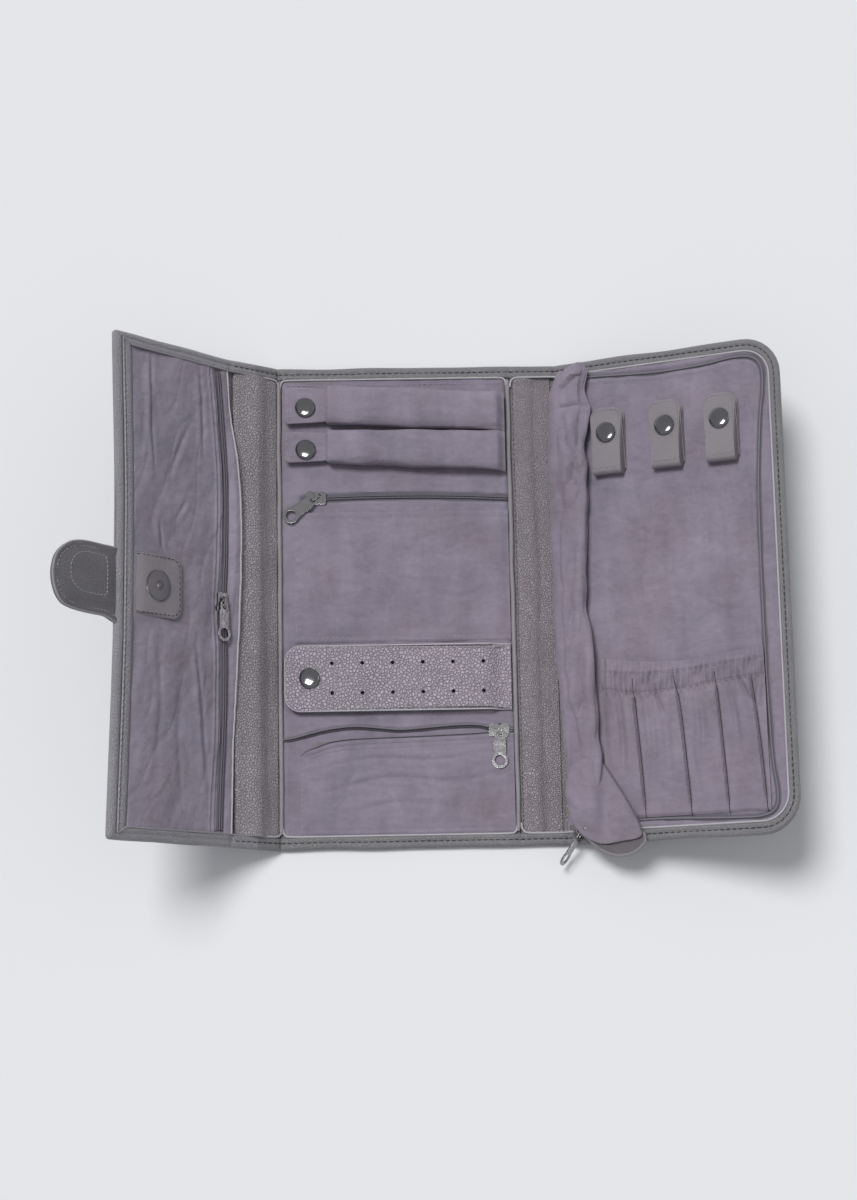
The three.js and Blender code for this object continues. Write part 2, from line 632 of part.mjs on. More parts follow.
// A zip with its slider and puller, placed with its chain on the line from start along the given yaw
function addZip(parent, prefix, { start, length, yaw, sliderAt, tailYaw, pullerYaw }) {
  const along = [Math.cos(deg(yaw)), Math.sin(deg(yaw))];
  const [x, y] = [start[0] + sliderAt * along[0], start[1] + sliderAt * along[1]];
  addPiece(parent, `${prefix}_zip`, moved(zipStrip(length), start[0], start[1], 0, yaw), "zip");
  const slider = zipSlider(pullerYaw - tailYaw);
  addPiece(parent, `${prefix}_zip_slider`, moved(slider, x, y, 0, tailYaw), "chrome");
  const puller = moved(zipPuller(), x, y, SLEEVE_TOP + PULLER_AXIS, pullerYaw);
  addPiece(parent, `${prefix}_zip_puller`, puller, "gunmetal");
}

function centreZipsAndPockets(parent) {
  const upperLeft = UPPER_ZIP_INSET_X - HALF_CENTRE + SLOT_CLEAR;
  addZip(parent, "upper", {
    start: [upperLeft, UPPER_ZIP_Y], length: CENTRE_INNER_X - upperLeft, yaw: 0,
    sliderAt: UPPER_SLIDER_INSET_X - HALF_CENTRE - upperLeft, tailYaw: 180, pullerYaw: UPPER_PULLER_YAW,
  });
  const lowerLeft = LOWER_ZIP_INSET_X - HALF_CENTRE + SLOT_CLEAR;
  addZip(parent, "lower", {
    start: [lowerLeft, LOWER_ZIP_Y], length: CENTRE_INNER_X - lowerLeft, yaw: 0,
    sliderAt: HALF_CENTRE - LOWER_SLIDER_INSET_X - lowerLeft, tailYaw: 0, pullerYaw: LOWER_PULLER_YAW,
  });
  const [lower, upper] = [ON_LINING, ON_LINING + POCKET_SHEET];
  const overStrap = STRAP_Y + STRAP_WIDTH / 2 + POCKET_OVER_STRAP;
  addPiece(parent, "upper_pocket", block(UPPER_POCKET_INSET_X - HALF_CENTRE, CENTRE_INNER_X,
    overStrap, UPPER_ZIP_Y - POCKET_BELOW_ZIP, lower, upper), "suede");
  addPiece(parent, "lower_pocket", block(LOWER_POCKET_INSET_X - HALF_CENTRE, CENTRE_INNER_X,
    SEAT - INNER_HALF_HEIGHT, LOWER_ZIP_Y - POCKET_BELOW_LOWER_ZIP, lower, upper), "suede");
}

// A spine: leather shell whose turned-in borders stop short of both folds, and a padded leather facing
function spine(parent, number, width, farClear) {
  const clear = (x0, x1) => block(x0, x1, -HALF_HEIGHT - 1, HALF_HEIGHT + 1, LEATHER, LIP_TOP + 1);
  const shell = leatherShell({ x0: SLIT, x1: width - SLIT, openEnd: true })
    .subtract(clear(0, FOLD_CLEAR)).subtract(clear(width - farClear, width));
  const facing = leafOutline(FOLD_CLEAR, width - farClear, INNER_HALF_HEIGHT);
  addPiece(parent, `spine_${number}_leather`, shell, "leather");
  addPiece(parent, `spine_${number}_facing`, slab(facing, BOARD_Z, LINING_TOP), "leather");
}

function flap(parent) {
  const slotEnd = INNER_HALF_HEIGHT - 1;
  const slot = zipSlot(-slotEnd, slotEnd, FLAP_ZIP_X, true);
  const tabHalf = TAB_WIDTH / 2;
  const tabMouth = block(FLAP_WIDTH - 2 * LEATHER, FLAP_WIDTH + 1, TAB_Y - tabHalf - SEAT,
    TAB_Y + tabHalf + SEAT, LEATHER, LINING_Z);
  const shell = leatherShell({ x0: SLIT, x1: FLAP_WIDTH, edgeBorder: FLAP_EDGE_BORDER });
  addPiece(parent, "flap_leather", shell.subtract(tabMouth).subtract(wallRelief()), "leather");

  const rootStart = FLAP_WIDTH - TAB_ROOT_LENGTH;
  const rootRoom = block(rootStart - SEAT, FLAP_WIDTH, TAB_Y - tabHalf - SEAT, TAB_Y + tabHalf + SEAT,
    BOARD_Z - 1, BOARD_Z + BOARD + 1);
  const board = slab(leafOutline(2 * SEAT, FLAP_WIDTH - LEATHER - SEAT, HALF_HEIGHT - LEATHER - SEAT),
    BOARD_Z, BOARD_Z + BOARD);
  addPiece(parent, "flap_board", board.subtract(slot).subtract(rootRoom), "board");
  const liningEnd = FLAP_WIDTH - FLAP_EDGE_BORDER - SEAT;
  const lining = slab(leafOutline(SEAT, liningEnd, INNER_HALF_HEIGHT), LINING_Z, LINING_TOP);
  addPiece(parent, "flap_lining", lining.subtract(slot), "suede");

  const zipStart = -slotEnd + SLOT_CLEAR;
  addZip(parent, "flap", {
    start: [FLAP_ZIP_X, zipStart], length: -2 * zipStart, yaw: 90, sliderAt: FLAP_SLIDER_Y - zipStart,
    tailYaw: 90, pullerYaw: 90,
  });

  const patch = new THREE.Shape();
  const patchHalf = PATCH_HEIGHT / 2;
  patch.moveTo(liningEnd, -patchHalf);
  patch.lineTo(liningEnd, patchHalf);
  patch.lineTo(PATCH_LEFT_X + PATCH_CORNER, patchHalf);
  patch.absarc(PATCH_LEFT_X + PATCH_CORNER, patchHalf - PATCH_CORNER, PATCH_CORNER,
    Math.PI / 2, Math.PI, false);
  patch.lineTo(PATCH_LEFT_X, PATCH_CORNER - patchHalf);
  patch.absarc(PATCH_LEFT_X + PATCH_CORNER, PATCH_CORNER - patchHalf, PATCH_CORNER,
    Math.PI, 1.5 * Math.PI, false);
  addPiece(parent, "magnet_patch", slab(patch, ON_LINING, ON_LINING + PATCH_THICKNESS), "leather");
  const rim = 0.4;
  const magnet = turned([
    [0, 0], [MAGNET_RADIUS, 0], [MAGNET_RADIUS, MAGNET_THICKNESS - rim],
    [MAGNET_RADIUS - rim, MAGNET_THICKNESS], [NUB_RADIUS, MAGNET_THICKNESS],
    [NUB_RADIUS - rim, MAGNET_THICKNESS + NUB_HEIGHT], [0, MAGNET_THICKNESS + NUB_HEIGHT],
  ], MAGNET_X, 0, ON_LINING + PATCH_THICKNESS + SEAT, 24);
  addPiece(parent, "magnet_disc", magnet, "chrome");
  closureTab(parent, rootStart);
}

// Closure tab: a thinned root sewn inside the flap's edge and a rounded two-layer grip outside it
function closureTab(parent, rootStart) {
  const half = TAB_WIDTH / 2;
  const grip = new THREE.Shape();
  const start = FLAP_WIDTH + SEAT;
  const end = FLAP_WIDTH + TAB_REACH;
  grip.moveTo(start, TAB_Y - half);
  grip.lineTo(end - TAB_CORNER, TAB_Y - half);
  grip.absarc(end - TAB_CORNER, TAB_Y - half + TAB_CORNER, TAB_CORNER, -Math.PI / 2, 0, false);
  grip.lineTo(end, TAB_Y + half - TAB_CORNER);
  grip.absarc(end - TAB_CORNER, TAB_Y + half - TAB_CORNER, TAB_CORNER, 0, Math.PI / 2, false);
  grip.lineTo(start, TAB_Y + half);
  const middle = BOARD_Z + TAB_ROOT / 2;
  const root = block(rootStart, start + 1, TAB_Y - half, TAB_Y + half, BOARD_Z, BOARD_Z + TAB_ROOT);
  const tab = slab(grip, middle - TAB_THICKNESS / 2, middle + TAB_THICKNESS / 2, 6).add(root);
  addPiece(parent, "closure_tab", tab, "leather");
}

// Half zip round three sides of the right panel: tape with a row of teeth on its inner edge
function panelZip() {
  const tapeOuter = leafOutline(PANEL_ZIP_BOTTOM_START, PANEL_WIDTH - PANEL_EDGE_BORDER - SEAT,
    INNER_HALF_HEIGHT, PANEL_CORNER - PANEL_EDGE_BORDER - SEAT);
  const tapeInner = leafOutline(0, PANEL_WIDTH - PANEL_EDGE_BORDER - SEAT - PANEL_TAPE_WIDTH,
    INNER_HALF_HEIGHT - PANEL_TAPE_SIDE_WIDTH, PANEL_CHAIN_CORNER - CHAIN_WIDTH);
  const start = block(0, PANEL_ZIP_TOP_START, 0, HALF_HEIGHT, 0, LIP_TOP);
  const tape = slab(tapeOuter, LINING_Z, LINING_Z + TAPE)
    .subtract(slab(tapeInner, 0, LIP_TOP)).subtract(start);

  const x = PANEL_WIDTH - PANEL_CHAIN_INSET_X;
  const y = HALF_HEIGHT - PANEL_CHAIN_INSET_Y;
  const r = PANEL_CHAIN_CORNER;
  const arc = Math.PI / 2 * r;
  const runs = [x - r - PANEL_ZIP_BOTTOM_START, arc, 2 * (y - r), arc, x - r - PANEL_ZIP_TOP_START];
  const total = runs.reduce((sum, run) => sum + run, 0);
  const pointAt = (distance, offset) => {
    let d = distance;
    if (d <= runs[0]) return [PANEL_ZIP_BOTTOM_START + d, -y - offset];
    d -= runs[0];
    if (d <= arc) {
      const angle = d / r - Math.PI / 2;
      return [x - r + (r + offset) * Math.cos(angle), r - y + (r + offset) * Math.sin(angle)];
    }
    d -= arc;
    if (d <= runs[2]) return [x + offset, r - y + d];
    d -= runs[2];
    if (d <= arc) {
      const angle = d / r;
      return [x - r + (r + offset) * Math.cos(angle), y - r + (r + offset) * Math.sin(angle)];
    }
    return [x - r - (d - arc), y + offset];
  };
  const steps = 2 * Math.round(total / TOOTH_PITCH);
  const corners = [];
  for (let i = 0; i <= steps; i += 1) corners.push(pointAt(total * i / steps, CHAIN_WIDTH / 4));
  for (let i = steps; i >= 0; i -= 1) {
    corners.push(pointAt(total * i / steps, (i % 2) * 2 * TOOTH_DEPTH - CHAIN_WIDTH / 4));
  }
  const chain = new THREE.Shape(corners.map((corner) => new THREE.Vector2(...corner)));
  return tape.add(slab(chain, LINING_Z + TAPE / 2, LINING_Z + TAPE + CHAIN));
}

// Necklace tab: the front layer and the fold at its bottom swing; the back layer is sewn to the lining
function necklaceTab(parent, number, x) {
  const backZ = ON_LINING;
  const studZ = backZ + NECKLACE_LEATHER + SEAT;
  const frontZ = studZ + SNAP_TAB_Z;
  const foldOuter = (frontZ + NECKLACE_LEATHER - backZ) / 2;
  const foldInner = foldOuter - NECKLACE_LEATHER;
  const top = HALF_HEIGHT - NECKLACE_INSET_Y;
  const foldY = top - NECKLACE_LENGTH + foldOuter;
  const snapY = top - NECKLACE_SNAP_INSET;
  const foldZ = backZ + foldOuter;
  const half = NECKLACE_WIDTH / 2;
  const strip = (y0) => {
    const shape = new THREE.Shape();
    const r = NECKLACE_CORNER;
    shape.moveTo(x - half, y0);
    shape.lineTo(x + half, y0);
    shape.lineTo(x + half, top - r);
    shape.absarc(x + half - r, top - r, r, 0, Math.PI / 2, false);
    shape.lineTo(x - half + r, top);
    shape.absarc(x - half + r, top - r, r, Math.PI / 2, Math.PI, false);
    return shape;
  };
  const bend = new THREE.Shape();
  bend.absarc(0, 0, foldOuter, Math.PI / 2, 1.5 * Math.PI, false);
  bend.absarc(0, 0, foldInner, 1.5 * Math.PI, Math.PI / 2, true);
  const fold = slab(bend, 0, NECKLACE_WIDTH, 6).rotate([90, 0, 90]).translate([x - half, foldY, foldZ]);
  const front = slab(strip(foldY - 0.1), frontZ, frontZ + NECKLACE_LEATHER, 3).add(fold)
    .subtract(snapHole(x, snapY, frontZ, frontZ + NECKLACE_LEATHER));
  const back = slab(strip(foldY + foldOuter + SEAT), backZ, backZ + NECKLACE_LEATHER, 3);
  addPiece(parent, `necklace_tab_${number}`, front, "leather");
  addPiece(parent, `necklace_tab_back_${number}`, back, "leather");
  addPiece(parent, `necklace_snap_cap_${number}`, snapCap(x, snapY, studZ, NECKLACE_LEATHER),
    "gunmetal");
  addPiece(parent, `necklace_snap_stud_${number}`, snapStud(x, snapY, studZ), "gunmetal");
}

// Height of the elastic pocket over the lining: five arched compartments, widest open at the top band
function elasticLift(s, t) {
  const pleats = PLEATS_AT_TOP.map((top, i) => lerp(PLEATS_AT_BOTTOM[i], top, t));
  const i = Math.min(pleats.findLastIndex((pleat) => pleat <= s), pleats.length - 2);
  const within = (s - pleats[i]) / (pleats[i + 1] - pleats[i]);
  const arch = Math.sqrt(Math.max(Math.sin(Math.PI * within), 0));
  const seam = Math.min(s, 1 - s) < 1e-6 ? 0 : 0.4;
  return t ** 0.7 * (seam + (ELASTIC_BULGE - seam) * arch);
}

function elasticPocket() {
  const point = (s, t) => {
    const right = PANEL_WIDTH - ELASTIC_INSET_X - ELASTIC_CORNER * Math.max(1 - 6 * t, 0);
    return [
      lerp(ROLL_END_X + ELASTIC_FROM_ROLL, right, s), ELASTIC_INSET_Y - HALF_HEIGHT + ELASTIC_HEIGHT * t,
      ON_LINING + elasticLift(s, t),
    ];
  };
  return sheet(point, ELASTIC_SHEET, ELASTIC_COLUMNS, ELASTIC_ROWS);
}

// Rolled lid: a wound section whose free edge shows as a step, slightly wavy along its length,
// and the loose rounded corner that lies out over the panel's lower border
function rolledLid() {
  const halfWidth = ROLL_WIDTH / 2;
  const halfRoll = ROLL_HEIGHT / 2;
  const rings = [];
  for (let j = 0; j <= ROLL_STATIONS; j += 1) {
    const t = j / ROLL_STATIONS;
    const y = lerp(ROLL_BOTTOM_Y, HALF_HEIGHT - ROLL_INSET_TOP, t);
    const wave = 0.96 + 0.04 * Math.sin(5 * Math.PI * t);
    const taper = j === ROLL_STATIONS ? 0.82 : 1;
    rings.push(Array.from({ length: ROLL_SIDES }, (_, k) => {
      const angle = -0.3 * Math.PI - 2 * Math.PI * k / ROLL_SIDES;
      const wound = 1 - ROLL_SHEET_STEP * k / ROLL_SIDES;
      const round = (value) => Math.sign(value) * Math.abs(value) ** 0.85;
      return [
        ROLL_START_X + halfWidth + halfWidth * wave * wound * round(Math.cos(angle)), y,
        ON_LINING + halfRoll + halfRoll * wound * taper * round(Math.sin(angle)),
      ];
    }));
  }
  return loft(rings).add(looseCorner());
}

// The corner's straight edge runs out from the roll, then turns round its tip below the panel's edge
function looseCorner() {
  const tipY = -HALF_HEIGHT - CORNER_OVERHANG;
  const topY = tipY + CORNER_LENGTH;
  const roundStart = tipY + CORNER_RADIUS;
  const straightEnd = tipY + 2 * CORNER_RADIUS;
  const reach = ROLL_END_X + CORNER_REACH;
  const shoulder = reach - CORNER_RADIUS / 5;
  const outer = (y) => {
    if (y > straightEnd) return lerp(ROLL_END_X + 1, shoulder, (topY - y) / (topY - straightEnd));
    if (y > roundStart) return lerp(shoulder, reach, (straightEnd - y) / (straightEnd - roundStart));
    return reach - CORNER_RADIUS + Math.sqrt(Math.max(CORNER_RADIUS ** 2 - (roundStart - y) ** 2, 0));
  };
  const middle = ROLL_START_X + ROLL_WIDTH / 2;
  const past = middle + 2.5;
  const inner = (y) => (y > ROLL_BOTTOM_Y ? middle : lerp(
    past, reach - 2 * CORNER_RADIUS, (ROLL_BOTTOM_Y - y) / (ROLL_BOTTOM_Y - tipY)));
  const point = (s, t) => {
    const y = lerp(tipY, topY, t);
    return [lerp(inner(y), outer(y), s), y, LIP_TOP + ROLL_HEIGHT / 2 - 2 * s];
  };
  return sheet(point, CORNER_SHEET, 4, CORNER_ROWS);
}

// The lid's slider waits at the end of its chain, standing on edge with its bail outwards
function lidSlider(parent) {
  const middle = (SLEEVE_Z + SLEEVE_TOP) / 2;
  const lidSliderY = LID_SLIDER_INSET_Y - HALF_HEIGHT;
  const slider = zipSlider(0).translate([0, 0, -middle]).rotate([90, 0, 0])
    .translate([LID_SLIDER_X, lidSliderY, LID_SLIDER_Z]);
  addPiece(parent, "lid_zip_slider", slider, "chrome");
  const axisY = lidSliderY - (SLEEVE_TOP - middle) - PULLER_AXIS;
  const puller = zipPuller().rotate([90, 0, LID_PULLER_YAW]).translate([LID_SLIDER_X, axisY, LID_SLIDER_Z]);
  addPiece(parent, "lid_zip_puller", puller, "gunmetal");
}

// Where the flap's magnet meets the back of the folded right panel, measured from the panel's fold
function receiverX() {
  const flapFold = -HALF_CENTRE - SPINE_1_WIDTH * Math.cos(deg(SPINE_SHUT));
  const tilt = deg(180 - FLAP_SHUT);
  const depth = ON_LINING + PATCH_THICKNESS + SEAT + MAGNET_THICKNESS - LEATHER;
  const magnet = flapFold + MAGNET_X * Math.cos(tilt) + depth * Math.sin(tilt);
  return HALF_CENTRE + SPINE_2_WIDTH * Math.cos(deg(SPINE_SHUT)) - magnet;
}

function rightPanel(parent) {
  const shell = leatherShell({ x0: SLIT, x1: PANEL_WIDTH, radius: PANEL_CORNER,
    edgeBorder: PANEL_EDGE_BORDER });
  addPiece(parent, "panel_leather", shell.subtract(wallRelief()), "leather");
  const boardInset = LEATHER + SEAT;
  const board = leafOutline(2 * SEAT, PANEL_WIDTH - boardInset, HALF_HEIGHT - boardInset,
    PANEL_CORNER - boardInset);
  addPiece(parent, "panel_board", slab(board, BOARD_Z, BOARD_Z + BOARD), "board");
  const lining = leafOutline(SEAT, PANEL_WIDTH - PANEL_EDGE_BORDER - 2 * SEAT - PANEL_TAPE_WIDTH,
    INNER_HALF_HEIGHT - SEAT - PANEL_TAPE_SIDE_WIDTH, PANEL_CHAIN_CORNER - CHAIN_WIDTH - SEAT);
  addPiece(parent, "panel_lining", slab(lining, LINING_Z, LINING_TOP), "suede");
  addPiece(parent, "panel_zip", panelZip(), "zip");
  TAB_CENTRES_X.forEach((x, i) => necklaceTab(parent, i + 1, x));
  addPiece(parent, "elastic_pocket", elasticPocket(), "suede");
  addPiece(parent, "rolled_lid", rolledLid(), "suede");
  lidSlider(parent);
  const receiver = turned([
    [RECEIVER_HOLE_RADIUS, 0], [RECEIVER_HOLE_RADIUS, -RECEIVER_THICKNESS],
    [MAGNET_RADIUS - 0.5, -RECEIVER_THICKNESS], [MAGNET_RADIUS, 0.4 - RECEIVER_THICKNESS],
    [MAGNET_RADIUS, 0], [RECEIVER_HOLE_RADIUS, 0],
  ], receiverX(), 0, -SEAT, 24);
  addPiece(parent, "magnet_receiver", receiver, "chrome");
}

const clutch = new THREE.Group();
clutch.name = "jewelry_clutch";
const centre = new THREE.Group();
clutch.add(centre);
centrePanel(centre);
BAR_INSETS_Y.forEach((inset, i) => ringBar(centre, i + 1, HALF_HEIGHT - inset));
earringStrap(centre);
centreZipsAndPockets(centre);

const folds = new THREE.Group();
folds.position.z = LEATHER;
clutch.add(folds);
const spine1 = leaf(folds, -HALF_CENTRE, SPINE_1_RISE, true);
spine(spine1.body, 1, SPINE_1_WIDTH, FLAP_FOLD_CLEAR);
const flapLeaf = leaf(spine1.pivot, -SPINE_1_WIDTH, FLAP_RISE - SPINE_1_RISE, true);
flap(flapLeaf.body);
const spine2 = leaf(folds, HALF_CENTRE, 0, false);
spine(spine2.body, 2, SPINE_2_WIDTH, FOLD_CLEAR);
const panelLeaf = leaf(spine2.pivot, SPINE_2_WIDTH, PANEL_RISE, false);
rightPanel(panelLeaf.body);

export default clutch;
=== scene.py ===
"""Jewelry clutch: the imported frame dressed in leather, suede, thread and metal."""

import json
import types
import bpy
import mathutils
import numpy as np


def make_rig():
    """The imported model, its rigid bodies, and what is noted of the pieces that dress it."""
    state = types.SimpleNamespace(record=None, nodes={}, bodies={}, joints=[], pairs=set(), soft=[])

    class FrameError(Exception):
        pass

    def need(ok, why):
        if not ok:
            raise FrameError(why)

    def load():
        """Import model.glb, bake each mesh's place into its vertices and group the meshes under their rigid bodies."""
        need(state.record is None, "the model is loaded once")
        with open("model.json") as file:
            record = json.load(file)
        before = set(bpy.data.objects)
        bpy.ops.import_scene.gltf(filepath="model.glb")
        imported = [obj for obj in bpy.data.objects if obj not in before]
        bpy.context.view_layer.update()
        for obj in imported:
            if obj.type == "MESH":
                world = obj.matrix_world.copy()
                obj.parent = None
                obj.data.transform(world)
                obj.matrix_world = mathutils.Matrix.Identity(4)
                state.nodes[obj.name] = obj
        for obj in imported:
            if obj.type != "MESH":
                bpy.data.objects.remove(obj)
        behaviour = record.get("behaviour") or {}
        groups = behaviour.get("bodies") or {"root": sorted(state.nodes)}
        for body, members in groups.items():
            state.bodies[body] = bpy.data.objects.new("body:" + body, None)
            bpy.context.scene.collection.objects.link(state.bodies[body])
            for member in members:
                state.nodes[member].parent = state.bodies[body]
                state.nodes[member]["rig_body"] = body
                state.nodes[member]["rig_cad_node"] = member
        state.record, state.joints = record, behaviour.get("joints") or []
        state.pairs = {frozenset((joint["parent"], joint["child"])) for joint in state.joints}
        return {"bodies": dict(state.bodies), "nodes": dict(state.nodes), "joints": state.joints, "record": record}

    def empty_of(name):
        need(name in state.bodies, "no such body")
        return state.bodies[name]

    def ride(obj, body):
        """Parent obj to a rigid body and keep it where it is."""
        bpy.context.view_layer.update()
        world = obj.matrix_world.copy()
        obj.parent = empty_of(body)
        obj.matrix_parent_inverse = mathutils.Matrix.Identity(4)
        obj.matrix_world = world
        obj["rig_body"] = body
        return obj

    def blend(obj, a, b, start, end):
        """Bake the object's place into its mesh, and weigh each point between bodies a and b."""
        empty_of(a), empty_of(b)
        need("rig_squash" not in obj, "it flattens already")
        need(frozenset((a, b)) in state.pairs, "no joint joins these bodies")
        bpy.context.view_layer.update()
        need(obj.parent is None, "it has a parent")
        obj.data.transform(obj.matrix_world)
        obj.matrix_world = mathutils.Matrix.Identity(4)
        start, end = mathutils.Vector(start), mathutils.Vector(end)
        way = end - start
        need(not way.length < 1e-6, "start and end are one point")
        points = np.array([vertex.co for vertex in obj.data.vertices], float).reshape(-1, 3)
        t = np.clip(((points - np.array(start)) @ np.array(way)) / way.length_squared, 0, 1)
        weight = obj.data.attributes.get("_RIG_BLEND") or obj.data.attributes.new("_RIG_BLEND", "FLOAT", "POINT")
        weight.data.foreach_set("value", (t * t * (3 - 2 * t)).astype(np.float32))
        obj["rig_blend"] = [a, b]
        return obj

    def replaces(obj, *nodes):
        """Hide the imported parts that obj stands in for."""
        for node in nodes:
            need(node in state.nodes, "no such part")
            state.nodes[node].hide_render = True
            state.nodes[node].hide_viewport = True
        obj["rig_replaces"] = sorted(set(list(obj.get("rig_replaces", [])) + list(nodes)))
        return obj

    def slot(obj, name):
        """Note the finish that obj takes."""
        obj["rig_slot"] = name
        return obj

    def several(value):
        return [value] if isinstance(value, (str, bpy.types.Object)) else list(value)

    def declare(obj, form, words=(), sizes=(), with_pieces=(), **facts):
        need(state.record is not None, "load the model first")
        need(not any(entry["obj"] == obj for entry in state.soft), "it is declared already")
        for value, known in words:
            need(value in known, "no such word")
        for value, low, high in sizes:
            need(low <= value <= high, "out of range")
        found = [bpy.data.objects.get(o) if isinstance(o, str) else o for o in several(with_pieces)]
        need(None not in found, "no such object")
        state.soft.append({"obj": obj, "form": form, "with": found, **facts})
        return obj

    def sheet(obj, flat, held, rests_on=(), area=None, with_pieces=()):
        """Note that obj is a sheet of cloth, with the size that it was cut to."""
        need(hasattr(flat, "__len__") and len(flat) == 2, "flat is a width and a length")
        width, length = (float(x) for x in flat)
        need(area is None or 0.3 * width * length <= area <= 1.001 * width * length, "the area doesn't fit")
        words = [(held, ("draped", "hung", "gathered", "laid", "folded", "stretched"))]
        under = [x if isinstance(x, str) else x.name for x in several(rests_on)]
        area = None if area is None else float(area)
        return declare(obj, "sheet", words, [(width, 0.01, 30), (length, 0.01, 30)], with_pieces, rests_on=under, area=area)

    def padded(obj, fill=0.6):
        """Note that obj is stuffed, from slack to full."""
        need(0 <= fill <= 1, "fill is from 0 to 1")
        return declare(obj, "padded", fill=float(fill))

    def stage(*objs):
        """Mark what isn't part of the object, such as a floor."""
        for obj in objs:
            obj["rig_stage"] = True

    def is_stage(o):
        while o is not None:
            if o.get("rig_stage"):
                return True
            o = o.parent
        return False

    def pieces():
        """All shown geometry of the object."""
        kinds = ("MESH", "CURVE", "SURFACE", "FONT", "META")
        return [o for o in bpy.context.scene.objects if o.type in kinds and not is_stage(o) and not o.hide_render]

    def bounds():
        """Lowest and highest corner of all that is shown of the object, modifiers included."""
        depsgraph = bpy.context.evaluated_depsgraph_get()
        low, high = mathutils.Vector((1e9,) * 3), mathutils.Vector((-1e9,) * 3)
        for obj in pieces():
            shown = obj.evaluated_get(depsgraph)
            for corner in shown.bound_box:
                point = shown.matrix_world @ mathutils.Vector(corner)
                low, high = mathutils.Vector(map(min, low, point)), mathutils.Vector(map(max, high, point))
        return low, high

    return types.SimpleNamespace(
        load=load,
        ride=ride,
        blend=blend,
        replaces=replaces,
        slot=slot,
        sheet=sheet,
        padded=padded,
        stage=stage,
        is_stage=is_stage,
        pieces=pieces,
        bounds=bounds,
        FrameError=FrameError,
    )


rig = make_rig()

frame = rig.load()

import json
import logging
import math
from dataclasses import dataclass, field
from enum import Enum
from typing import Any, Callable, Sequence

import bmesh
import bpy
import numpy as np
from mathutils import Matrix, Vector
from mathutils.geometry import delaunay_2d_cdt

CAD_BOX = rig.bounds()
LOG = logging.getLogger("jewelry_clutch")
MM = 0.001
Array = np.ndarray
Place = Callable[[Any, Any, Any], Array]
Crown = Callable[[Array, Array], Array]
Pair = tuple[float, float]
Triple = tuple[float, float, float]
Trio = tuple[Array, Array, Array]
Bend = Callable[[Array, Array, Array], Trio]

# Heights above the outer leather's underside and half lengths, in millimetres, as the frame has them
FOLD_H = 1.2
LINING_TOP = 3.4
TAB_LOW = 6.4
TAB_HIGH = 7.6
HALF_HEIGHT = 120.0
INNER_HALF = 113.9


# Numbers, noise and creases


def smooth(t: Any) -> Array:
    """Returns t eased from 0 to 1."""
    t = np.clip(t, 0.0, 1.0)
    return t * t * (3 - 2 * t)


def bump(distance: Any, width: float) -> Array:
    """Returns a bell of the given half width, 1 at no distance."""
    return np.exp(-(np.asarray(distance) / width) ** 2)


def resample(points: Any, spacing: float) -> Array:
    """Spaces the points of a line evenly.

    Args:
        points: Corners of the line, one row each.
        spacing: Wanted distance between neighbours.

    Returns:
        The evenly spaced points, with both ends kept.
    """
    points = np.asarray(points, float)
    steps = np.linalg.norm(np.diff(points, axis=0), axis=1)
    along = np.concatenate([[0.0], np.cumsum(steps)])
    count = max(2, int(round(along[-1] / spacing)) + 1)
    wanted = np.linspace(0, along[-1], count)
    return np.stack([np.interp(wanted, along, column) for column in points.T], -1)


def curved(points: Any, spacing: float = 0.5) -> Array:
    """Draws a smooth line through points.

    Args:
        points: Points that the line passes, one row each.
        spacing: Distance between the points that come back.

    Returns:
        Evenly spaced points on a Catmull-Rom line.
    """
    points = np.asarray(points, float)
    ends = np.vstack([2 * points[0] - points[1], points, 2 * points[-1] - points[-2]])
    t = np.linspace(0, 1, 12, endpoint=False)[:, None]
    parts = []
    for a, b, c, d in zip(ends, ends[1:], ends[2:], ends[3:]):
        parts.append(0.5 * (2 * b + (c - a) * t + (2 * a - 5 * b + 4 * c - d) * t ** 2
                            + (3 * b - a - 3 * c + d) * t ** 3))
    return resample(np.vstack(parts + [points[-1:]]), spacing)


class Waves:
    """A smooth unevenness: a seeded sum of plane waves, in about -1 to 1."""

    def __init__(self, seed: int, length: float, count: int = 9, heading: float | None = None,
                 spread: float = 0.4) -> None:
        """Draws the waves.

        Args:
            seed: Seed of the draw.
            length: Usual wavelength in millimetres.
            count: Number of waves.
            heading: Direction in degrees that the waves run in, or None for every direction.
            spread: How far a wave may turn from the heading, in radians.
        """
        draw = np.random.default_rng(seed)
        if heading is None:
            angles = draw.uniform(0, math.pi, count)
        else:
            angles = math.radians(heading) + draw.uniform(-spread, spread, count)
        pace = 2 * math.pi / (length * draw.uniform(0.65, 1.7, count))
        self.along = np.stack([pace * np.cos(angles), pace * np.sin(angles)], -1)
        self.phase = draw.uniform(0, 2 * math.pi, count)

    def at(self, x: Any, y: Any) -> Array:
        """Sums the waves.

        Args:
            x: Places across.
            y: Places along the folds.

        Returns:
            The unevenness at each place.
        """
        x, y = np.broadcast_arrays(np.asarray(x, float), np.asarray(y, float))
        total = np.zeros(x.shape)
        for (kx, ky), phase in zip(self.along, self.phase):
            total += np.sin(kx * x + ky * y + phase)
        return total / math.sqrt(len(self.phase))

    def lines(self, x: Any, y: Any, width: float) -> Array:
        """Returns 1 along the winding lines where the unevenness is 0, fading beside them."""
        return bump(self.at(x, y), width)


